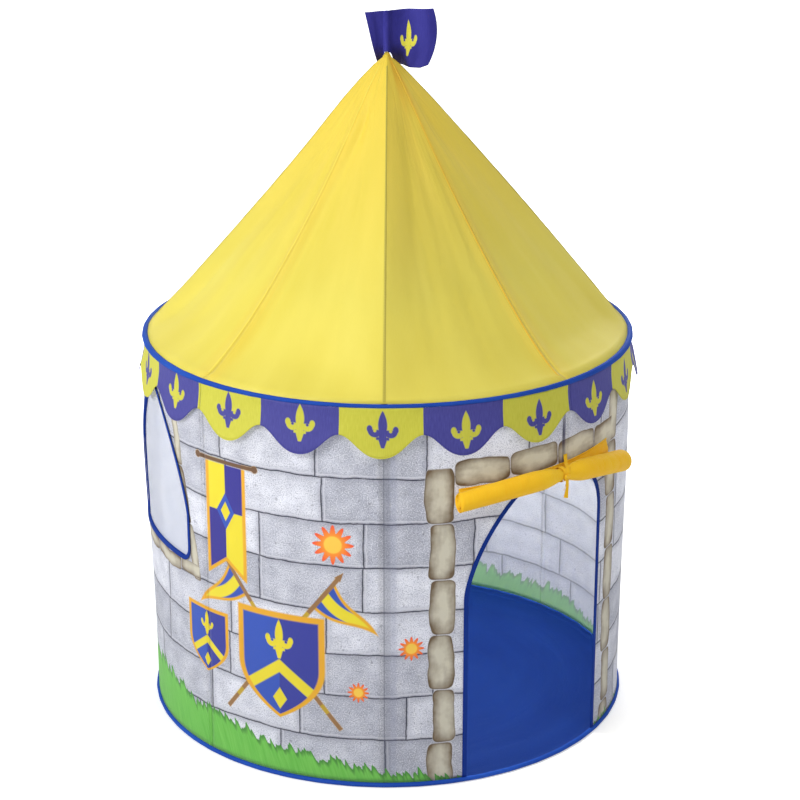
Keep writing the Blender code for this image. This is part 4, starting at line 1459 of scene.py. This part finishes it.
def place_floor(u, v):
    azimuth = 360 * u
    reach = floor_reach * (1 - v)
    spot = around(reach, azimuth, 0)
    wave = 0.5 + 0.5 * fold(spot, 0.22, 2.0) + 0.3 * fold(spot, 0.07, 5.0)
    lift = 0.0028 * max(0.0, wave) * hold(floor_reach - reach, 0.08) * hold(reach, 0.05)
    edge = edge_rise * (1 - hold(floor_reach - reach, 0.010))
    return around(reach, azimuth, floor_top + lift + edge)


floor_flat = (2 * floor_reach, 2 * floor_reach)
floor_cloth = cloth("floor_cloth", floor_flat, (144, 50), place_floor, floor_finish, joined=True)
sewn(
    floor_cloth,
    "floor_sheet",
    flat=floor_flat,
    share=disc_share,
)

# %% [markdown]
# ## The skirt
# The skirt hangs from the rim over the top of the wall. Its lower edge is a row of round
# lappets. The cloth stands off a little more at its edge, most of all at the left and the right,
# and each lappet curls in its own way, as cut cloth does. A narrow rolled hem follows the edge.

# %% The skirt's surface
skirt_drop, lappet_drop = 0.0735, 0.0225
skirt_out, skirt_start = 0.0023, 0.0015
side_flare, flare_azimuth, flare_spread = 0.013, 96, 13


def skirt_place(azimuth, share, lift=0.0):
    """The skirt's outer face, share being 0 at the rim and 1 at the edge."""
    from_lappet = azimuth - lappet_shift
    wave = math.cos(math.radians(lappets * from_lappet))
    rounder = 0.12 * (1 - math.cos(math.radians(2 * lappets * from_lappet)))
    drop = skirt_drop + lappet_drop * (wave + rounder)
    lappet = math.floor(from_lappet / (360 / lappets) + 0.5)
    curl = fold(Vector((lappet * 0.9, azimuth * 0.03, 0.3)), 0.5, 6.0)
    flare = 0.0075 * share**1.5 + 0.0020 * wave * share + 0.0030 * curl * share * share
    flare += 0.0010 * fold(Vector((azimuth * 0.12, share * 0.6, 0)), 0.6, 9.0) * share
    from_flare = (abs(wrapped(azimuth)) - flare_azimuth) / flare_spread
    flare += side_flare * share * share * math.exp(-(from_flare**2))
    height = wall_high + skirt_start - (drop + skirt_start) * share
    return around(radius + skirt_out + max(flare, 0.0006) + lift, azimuth, height)


print("lappets reach", round(skirt_drop + lappet_drop, 3), "m below the wall's top")

# %% The skirt's cloths and hems
skirt_flat = (wall_flat[0], 0.096)
skirt_share = 0.77
hem_flat = (wall_flat[0], 0.002)
for side, middle in sides.items():

    def place_skirt(u, v):
        return skirt_place(middle + (90 - degrees(seam_gap)) * (u - 0.5), 1 - v)

    def place_hem(u, v):
        bulge = 0.0001 + 0.0005 * math.sin(math.pi * v)
        return skirt_place(middle + (90 - degrees(seam_gap)) * (u - 0.5), 1 - 0.02 * v, bulge)

    skirt = cloth("skirt_cloth_" + side, skirt_flat, (180, 16), place_skirt, skirt_finish, 0.0006)
    hem = cloth("skirt_hem_" + side, hem_flat, (180, 4), place_hem, skirt_finish, 0)
    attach(hem, "tent")
    sewn(
        skirt,
        "valance_" + side,
        flat=skirt_flat,
        share=skirt_share,
    )

# %% [markdown]
# ## Tape on the openings
# The raw edges of the doorway and the window are bound with blue tape, folded in half over the
# edge. Across the fold the tape is a hairpin: a leg on each face and a round bend in the
# opening. Along the opening it follows the outline. The hairpin is a function of one share and
# the outline of the other, so the tape is a sheet like the rest.

# %% The openings' tape
tape_inset, tape_middle = 0.0008, 0.00035


def bound_edge(name, node, points, closed, leg=0.0088, bend=0.0013):
    """Tape folded over the edge of an opening."""
    line = [*points, points[0]] if closed else points
    outward = away_from(points, 1.0, closed)
    outward = [*outward, outward[0]] if closed else outward
    steps = [(b[0] - a[0], b[1] - a[1]) for a, b in zip(line, outward)]
    length = 2 * leg + math.pi * bend

    def place_tape(u, v):
        index = min(len(line) - 1, round(u * (len(line) - 1)))
        along = v * length
        if along < leg:
            away, out = leg - along, -bend
        elif along > length - leg:
            away, out = along - (length - leg), bend
        else:
            turn = (along - leg) / bend
            away, out = -bend * math.sin(turn) * 0.6, -bend * math.cos(turn)
        out += 0.00012 * fold(Vector((index * 0.4, away * 90, 0)), 1.0, 3.0)
        s = line[index][0] + (away + tape_inset) * steps[index][0]
        z = line[index][1] + (away + tape_inset) * steps[index][1]
        return around(radius + belly(degrees(s), z) - tape_middle + out, degrees(s), z)

    flat = (sum(math.dist(a, b) for a, b in zip(line, line[1:])), length)
    obj = cloth(name, flat, (len(line) - 1, 20), place_tape, binding_finish, 0.0005, joined=closed)
    sewn(obj, node, flat)


door_outline, window_outline = door_line(wall_low), window_line()
bound_edge("door_binding", "door_edge_tape", door_outline, closed=False)
window_fold = {"leg": 0.0078, "bend": 0.0028}
bound_edge("window_binding", "window_edge_tape", window_outline, closed=True, **window_fold)

# %% [markdown]
# ## The window's net
# The net is sewn on behind the window. It is a sheet whose upper edge follows the pointed arch,
# and it bellies slightly inwards.

# %% The net
net_edge, net_behind = 0.006, 0.0036
net_share = 0.78


def place_net(u, v):
    across = (window_half + net_edge) * math.sin(math.pi * (u - 0.5))
    share = min(abs(across) / window_half, 1.0)
    arch = (1 - share**arch_power) ** (1 / arch_power)
    top = window_spring + (window_top - window_spring) * arch + net_edge
    low = window_sill - net_edge
    middle = 1 - (2 * u - 1) ** 2
    sag = 0.0016 * middle * math.sin(math.pi * v) * (1 + 0.6 * fold(Vector((u, v, 0)), 0.3, 2.0))
    azimuth = degrees(window_middle + across)
    height = low + (top - low) * v
    return around(radius + belly(azimuth, height) - net_behind - sag, azimuth, height)


net_flat = (2 * (window_half + net_edge), window_top - window_sill + 2 * net_edge)
net = cloth("window_net_cloth", net_flat, (64, 64), place_net, net_finish, 0.0003)
sewn(
    net,
    "window_net",
    flat=net_flat,
    share=net_share,
)

# %% [markdown]
# ## Sleeves for the wall poles
# Each wall pole stands in a channel of cloth. The channel is one strip: it lies on the wall,
# goes round the pole and lies on the wall again, where it is stitched down on both sides.

# %% The sleeves
sleeve_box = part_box("pole_sleeve_front")
sleeve_low, sleeve_high = sleeve_box[0].z, sleeve_box[1].z
sleeve_flat = (0.052, sleeve_high - sleeve_low)
pole_round = 0.0070
sleeve_wall, sleeve_rise, sleeve_flange = 0.4968, 0.0106, 0.0042


def sleeve_section(share, stand):
    """Sideways and inward place of the strip, with the wall standing out this far."""
    bend = math.pi * pole_round
    at_wall = sleeve_wall + stand
    rise = sleeve_rise + stand
    total = bend + 2 * rise + 2 * sleeve_flange
    along = share * total
    if along < sleeve_flange:
        return -pole_round - sleeve_flange + along, at_wall
    if along < sleeve_flange + rise:
        return -pole_round, at_wall - (along - sleeve_flange)
    if along < sleeve_flange + rise + bend:
        turn = math.pi - (along - sleeve_flange - rise) / pole_round
        return pole_round * math.cos(turn), at_wall - rise - pole_round * math.sin(turn)
    if along < total - sleeve_flange:
        return pole_round, at_wall - rise + (along - sleeve_flange - rise - bend)
    return pole_round + (along - (total - sleeve_flange)), at_wall


for side, middle in sides.items():
    out, across = directions(middle)

    def place_sleeve(u, v):
        height = sleeve_low + (sleeve_high - sleeve_low) * v
        sideways, reach = sleeve_section(u, belly(middle, height))
        slack = 0.0003 * fold(Vector((u * 2, height * 8, middle)), 0.5, 5.0)
        place = across * sideways + out * (reach + slack)
        return Vector((place.x, place.y, height))

    name, counts = "sleeve_cloth_" + side, (40, 60)
    sleeve = cloth(name, sleeve_flat, counts, place_sleeve, sleeve_finish, 0.0005)
    sewn(
        sleeve,
        "pole_sleeve_" + side,
        flat=sleeve_flat,
    )

# %% [markdown]
# ## The rolled curtain
# The doorway's curtain is rolled up from its lower edge. It is modelled as it really is: one
# long sheet wound in a spiral, which shows at both ends. Every turn follows the same slightly
# squashed and dented round, so the turns never cut through each other. Where the ribbon ties
# it, the roll is nipped and the cloth gathers in short folds.

# %% The roll
roll_left, roll_right = 15.5, 62.0
roll_line, roll_further = 0.5275, 0.003
roll_left_height, roll_right_height, roll_arch = 0.610, 0.598, 0.0245
roll_thin, roll_thicker, roll_nipped = 0.0210, 0.0040, 0.0132
tie_azimuth = 40.1
turns = 7.3
core = 0.0045


def roll_height(share):
    """The roll ends a little lower on the right, and arches up between its ends."""
    slope = (roll_right_height - roll_left_height) * share
    return roll_left_height + slope + 4 * roll_arch * share * (1 - share)


def roll_size(share):
    """The roll's radius, thicker to the right and nipped at the ribbon."""
    plain = roll_thin + roll_thicker * share
    from_tie = (roll_left + (roll_right - roll_left) * share - tie_azimuth) / degrees(0.030)
    return plain - (plain - roll_nipped) * math.exp(-from_tie * from_tie)


def place_roll(u, v):
    turn = math.radians(270) - 2 * math.pi * turns * v
    azimuth = roll_left + (roll_right - roll_left) * u
    size = roll_size(u)
    reach = size - (size - core) * v
    spot = Vector((u * 9, math.sin(turn), math.cos(turn)))
    broad, small = (0.5 + 0.5 * fold(spot, 0.9, 3.0)), (0.5 + 0.5 * fold(spot, 0.35, 8.0))
    dent = 1 - 0.035 * broad - 0.03 * small
    from_tie = (azimuth - tie_azimuth) / degrees(0.035)
    gather = 0.045 * math.exp(-from_tie * from_tie) * (math.cos(6 * turn) - 1)
    reach *= dent + gather
    stagger = 0.8 * fold(Vector((v * 14, u * 2, 0)), 1.0, 4.0) * abs(2 * u - 1) ** 6
    distance = roll_line + roll_further * u + reach * math.sin(turn)
    return around(distance, azimuth + stagger, roll_height(u) + reach * math.cos(turn))


roll_flat = (0.456, 2 * math.pi * turns * 0.0118)
roll = cloth("rolled_curtain", roll_flat, (84, 176), place_roll, curtain_finish, 0.0005)
sewn(
    roll,
    "door_roll",
    flat=roll_flat,
    body="door_roll",
)

# %% [markdown]
# Between its seam over the doorway and the roll, the curtain is a short strip, which gets longer
# as the roll comes down. Its points follow the wall at the top and the roll at the bottom, and
# many rows lie close together here.

# %% The strip that the roll hangs from
strip_low, strip_inset = 0.602, 0.8
seam_left, seam_climb, seam_wide = 0.626, 0.016, 0.004
strip_flat, seam_flat = (0.43, 0.040), (0.43, seam_wide)


def seam_height(share):
    """The curtain's seam climbs a little from left to right."""
    return seam_left + seam_climb * share


def strip_azimuth(share):
    return roll_left + strip_inset + (roll_right - roll_left - 2 * strip_inset) * share


def place_curtain(u, v):
    azimuth = strip_azimuth(u)
    lift = 0.0056 * min(2 * (1 - v), 1.0) + 0.0006
    lift += 0.0005 * fold(Vector((azimuth * 0.1, v * 2, 0)), 0.4, 5.0) * min(8 * (1 - v), 1.0)
    return around(radius + lift, azimuth, strip_low + (seam_height(u) - strip_low) * v)


def place_seam_tape(u, v):
    lift = 0.0012 + 0.0007 * math.sin(math.pi * v)
    height = seam_height(u) - seam_wide / 2 + seam_wide * v
    return around(radius + lift, strip_azimuth(u), height)


seam_tape = cloth("curtain_seam", seam_flat, (84, 4), place_seam_tape, curtain_finish, 0.0004)
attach(seam_tape, "tent")
strip = cloth("curtain_strip", strip_flat, (84, 96), place_curtain, curtain_finish, 0.0005)
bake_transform(strip)
sewn(
    strip,
    "door_curtain",
    flat=strip_flat,
    body=None,
)

# %% [markdown]
# ## The ribbon
# A ribbon sewn over the doorway goes round the roll and is tied in front, with its two ends
# hanging down. When the roll comes down the ribbon is untied and hangs flat on the wall.

# %% The ribbon's parts
ribbon_width, ribbon_thickness = 0.0095, 0.0004
tie_share = (tie_azimuth - roll_left) / (roll_right - roll_left)
tie_height = roll_height(tie_share)
tie_out, tie_across = directions(tie_azimuth)


def ribbon(name, points, width=ribbon_width, twist=0.0, aside=0.0, from_side=0.0):
    """A ribbon along points given as distance from the axis and height."""
    lengths = [0.0]
    for a, b in zip(points, points[1:]):
        lengths.append(lengths[-1] + math.dist(a, b))

    def place_ribbon(u, v):
        want = v * lengths[-1]
        index = min(i for i in range(1, len(lengths)) if lengths[i] >= want - 1e-9)
        before, after = points[index - 1], points[index]
        share = (want - lengths[index - 1]) / (lengths[index] - lengths[index - 1])
        reach = before[0] + (after[0] - before[0]) * share
        height = before[1] + (after[1] - before[1]) * share
        sweep = (u - 0.5) * width
        raised = sweep * math.sin(twist * v) + 0.0008 * math.sin(5 * v + 3 * u)
        right = sweep * math.cos(twist * v) + aside * v + from_side * (1 - v)
        place = tie_out * (reach + raised * v) + tie_across * right
        return Vector((place.x, place.y, height))

    flat = (max(width, 0.01), max(lengths[-1], 0.01))
    counts = (8, max(12, len(points)))
    obj = cloth(name, flat, counts, place_ribbon, curtain_finish, ribbon_thickness)
    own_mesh(obj)
    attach(obj, "tent")
    print(name, "is", round(lengths[-1], 3), "m of ribbon")
    return obj


band_size = 0.0146
band = []
for step in range(-60, 301, 10):
    turn = math.radians(step)
    reach, height = roll_line + band_size * math.sin(turn), tie_height + band_size * math.cos(turn)
    band.append((reach, height))
front = roll_line + 0.0152
ribbon("tie_band", band)
tail_start = (front + 0.001, tie_height - 0.001)
long_tail = [tail_start, (front + 0.003, tie_height - 0.018), (front, tie_height - 0.044)]
short_tail = [tail_start, (front + 0.004, tie_height - 0.012), (front + 0.002, tie_height - 0.026)]
ribbon("tie_tail_long", long_tail, width=0.0075, twist=0.9, aside=-0.001)
ribbon("tie_tail_short", short_tail, width=0.007, twist=-1.1, aside=-0.009)

# %% [markdown]
# The knot is a small ball of folded ribbon. A sphere is pressed flat, pinched in its middle and
# wrinkled.

# %% The knot
knot_wide, knot_deep, knot_high = 0.0078, 0.0036, 0.0056


def make_knot():
    bm = bmesh.new()
    bmesh.ops.create_icosphere(bm, subdivisions=4, radius=1.0)
    for vert in bm.verts:
        x, y, z = vert.co
        pinch = 0.75 + 0.25 * abs(x)
        crumple = 1 + 0.18 * fold(vert.co, 0.5, 2.0)
        out = y * knot_deep * pinch * crumple + front + 0.0022
        place = tie_across * (x * knot_wide * crumple) + tie_out * out
        vert.co = Vector((place.x, place.y, tie_height + z * knot_high * pinch * crumple))
    layer = bm.loops.layers.uv.new("cloth")
    for face in bm.faces:
        for loop in face.loops:
            loop[layer].uv = (loop.vert.co.dot(tie_across), loop.vert.co.z)
    bmesh.ops.recalc_face_normals(bm, faces=bm.faces)
    mesh = bpy.data.meshes.new("tie_knot")
    bm.to_mesh(mesh)
    bm.free()
    knot = link("tie_knot", mesh, curtain_finish)
    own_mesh(knot)
    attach(knot, "tent")
    print("knot has", len(mesh.polygons), "faces")
    return knot


knot = make_knot()

# %% [markdown]
# The strap is sewn to the wall just over the roll and goes over it to the knot.

# %% The strap
strap_line = [(0.5000, 0.653), (0.5050, 0.649), (0.5112, 0.646), (0.5170, tie_height + 0.0136)]
strap_line += [(roll_line, tie_height + 0.0154), (roll_line + 0.0100, tie_height + 0.0118)]
strap_line.append((front, tie_height + 0.002))
strap = ribbon("tie_strap", strap_line, from_side=0.036)
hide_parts("door_tie")

# %% [markdown]
# ## The flag
# The flag has a sewn pocket that drops over the stick. The cloth is a wavy sheet. The pocket is
# a narrow sleeve round the stick, closed at its top, and both turn together. Beside the roof's
# peak the cloth's lower edge is cut higher, so that the flag turns clear of the roof.

# %% The flag's cloth
flag_top, flag_drop = 1.4545, 0.113
flag_right, flag_left = 0.092, 0.044
lean_from, lean_soft = 0.074, 0.012
flag_edge = ((-1.0, 0.98), (-0.5, 1.0), (-0.25, 0.725), (0.03, 0.71), (0.09, 0.77), (0.17, 0.97))
flag_edge += ((0.3, 1.02), (0.8, 1.01), (1.0, 0.95))


def flag_low(across):
    """How far down the cloth's lower edge is here, as a share of its drop."""
    for (start, first), (end, second) in zip(flag_edge, flag_edge[1:]):
        if across <= end:
            return first + (second - first) * (across - start) / (end - start)
    return flag_edge[-1][1]


def place_flag(u, v):
    across = -1 + 2 * u
    hang = 1 - v
    if across > 0:
        x = across * (flag_right - 0.010 * hang + 0.048 * hang * (1 - hang))
    else:
        x = across * (flag_left - 0.024 * hang)
    top = 0.0055 * x / flag_right
    low = -flag_drop * flag_low(across)
    height = low + (top - low) * v
    wave = 0.009 * math.sin(2 * math.pi * x / 0.120) * min(abs(x) / flag_left, 1)
    wave += 0.0022 * fold(Vector((u * 4, v * 1.2, 0)), 0.8, 4.0) * hold(abs(x) - 0.006, 0.02)
    past = -height - lean_from
    lean = (past + math.hypot(past, lean_soft)) / 2
    lean *= hold(abs(x) - 0.0035, 0.0045) * (1 - hold(x - 0.024, 0.024))
    side = 0.0052 * max(0.0, 1 - (x / 0.0075) ** 2)
    return Vector((x, wave + lean - side - 0.0003, flag_top + height))


flag_flat = (0.150, 0.108)
flag_share = 0.86
flag = cloth("flag_cloth_sheet", flag_flat, (96, 60), place_flag, flag_finish, 0.0005)
sewn(
    flag,
    "flag",
    flat=flag_flat,
    share=flag_share,
    body="flag",
)

# %% The flag's pocket
pocket_low, pocket_high = 1.3729, flag_top - 0.0008
pocket_round, pocket_rise = 0.0043, 0.0006
closed_from = 0.93
pocket_flat = (0.024, 0.085)


def place_pocket(u, v):
    turn = math.radians(-60 + 300 * u)
    closing = max(0.0, v - closed_from) / 0.07
    size = pocket_round * math.cos(closing * math.pi / 2)
    height = pocket_low + (pocket_high - pocket_low) * min(v, closed_from) / closed_from
    return Vector((size * math.cos(turn), size * math.sin(turn), height + pocket_rise * closing))


pocket = cloth("flag_pocket_cloth", pocket_flat, (24, 40), place_pocket, flag_finish, 0.0004)
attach(pocket, "flag")
print("flag's pocket is", round(pocket_high - pocket_low, 3), "m long")

# %% [markdown]
# ## Floor, light and background
# The tent stands on a plain pale floor under soft light, with more of it from the left. The
# floor and the world show plain white to the camera, so the picture's ground is white while the
# object is lit at a plain level. The floor still takes the tent's shadow.

# %% The floor


def make_ground():
    bm = bmesh.new()
    bmesh.ops.create_circle(bm, cap_ends=True, segments=64, radius=30.0)
    mesh = bpy.data.meshes.new("ground")
    bm.to_mesh(mesh)
    bm.free()
    material, tree, shader = start_finish("pale_floor", roughness=0.9)
    shader.inputs["Base Color"].default_value = (0.80, 0.80, 0.80, 1.0)
    shader.inputs["Specular IOR Level"].default_value = 0.0
    rays = tree.nodes.new("ShaderNodeLightPath")
    glow = tree.nodes.new("ShaderNodeEmission")
    mix = tree.nodes.new("ShaderNodeAddShader")
    place = tree.nodes.new("ShaderNodeTexCoord")
    split = tree.nodes.new("ShaderNodeSeparateXYZ")
    tree.links.new(place.outputs["Object"], split.inputs[0])
    away = far_from(Field(tree, split.outputs[0]), Field(tree, split.outputs[1]))
    lift = away.over(1.4, 1.8) * 0.7 + 0.40
    strength = (Field(tree, rays.outputs["Is Camera Ray"]) * lift).socket
    tree.links.new(strength, glow.inputs["Strength"])
    tree.links.new(shader.outputs[0], mix.inputs[0])
    tree.links.new(glow.outputs[0], mix.inputs[1])
    tree.links.new(mix.outputs[0], tree.nodes["Material Output"].inputs["Surface"])
    ground = link("ground", mesh, material)
    ground.location.z = -0.0005
    print("floor is 60 m across")


make_ground()

# %% The lights and the background


def make_world():
    world = bpy.data.worlds.new("studio")
    world.use_nodes = True
    bpy.context.scene.world = world
    tree = world.node_tree
    background = tree.nodes["Background"]
    rays = tree.nodes.new("ShaderNodeLightPath")
    seen = Field(tree, rays.outputs["Is Camera Ray"])
    for label in ("Is Glossy Ray", "Is Transmission Ray"):
        seen = seen.most(Field(tree, rays.outputs[label]))
    background.inputs["Color"].default_value = (1.0, 1.0, 1.0, 1.0)
    tree.links.new((seen * 0.44 + 0.56).socket, background.inputs["Strength"])
    print("world is white to the eye and softer as a light")


def soft_lamp(name, place, target, size, power):
    lamp = bpy.data.lights.new(name, "AREA")
    lamp.shape = "DISK"
    lamp.size = size
    lamp.energy = power
    obj = bpy.data.objects.new(name, lamp)
    obj.location = place
    obj.rotation_euler = (Vector(target) - Vector(place)).to_track_quat("-Z", "Y").to_euler()
    bpy.context.scene.collection.objects.link(obj)
    print(name, "gives", power, "W")
    return obj


make_world()
soft_lamp("left_lamp", (-4.0, -2.6, 3.0), (0, 0, 0.7), size=2.4, power=174)
soft_lamp("right_lamp", (1.7, -1.9, 4.6), (0, 0, 0.9), size=1.8, power=34)
soft_lamp("back_lamp", (0.6, 3.6, 2.2), (0, 0, 0.6), size=3.0, power=92)
inside = soft_lamp("inside_lamp", (0.0, 0.0, 0.96), (0, 0, 0.2), size=0.45, power=9)
inside.visible_camera = False
bpy.context.scene.view_settings.view_transform = "Standard"

# %% A last update of the scene
note_size()
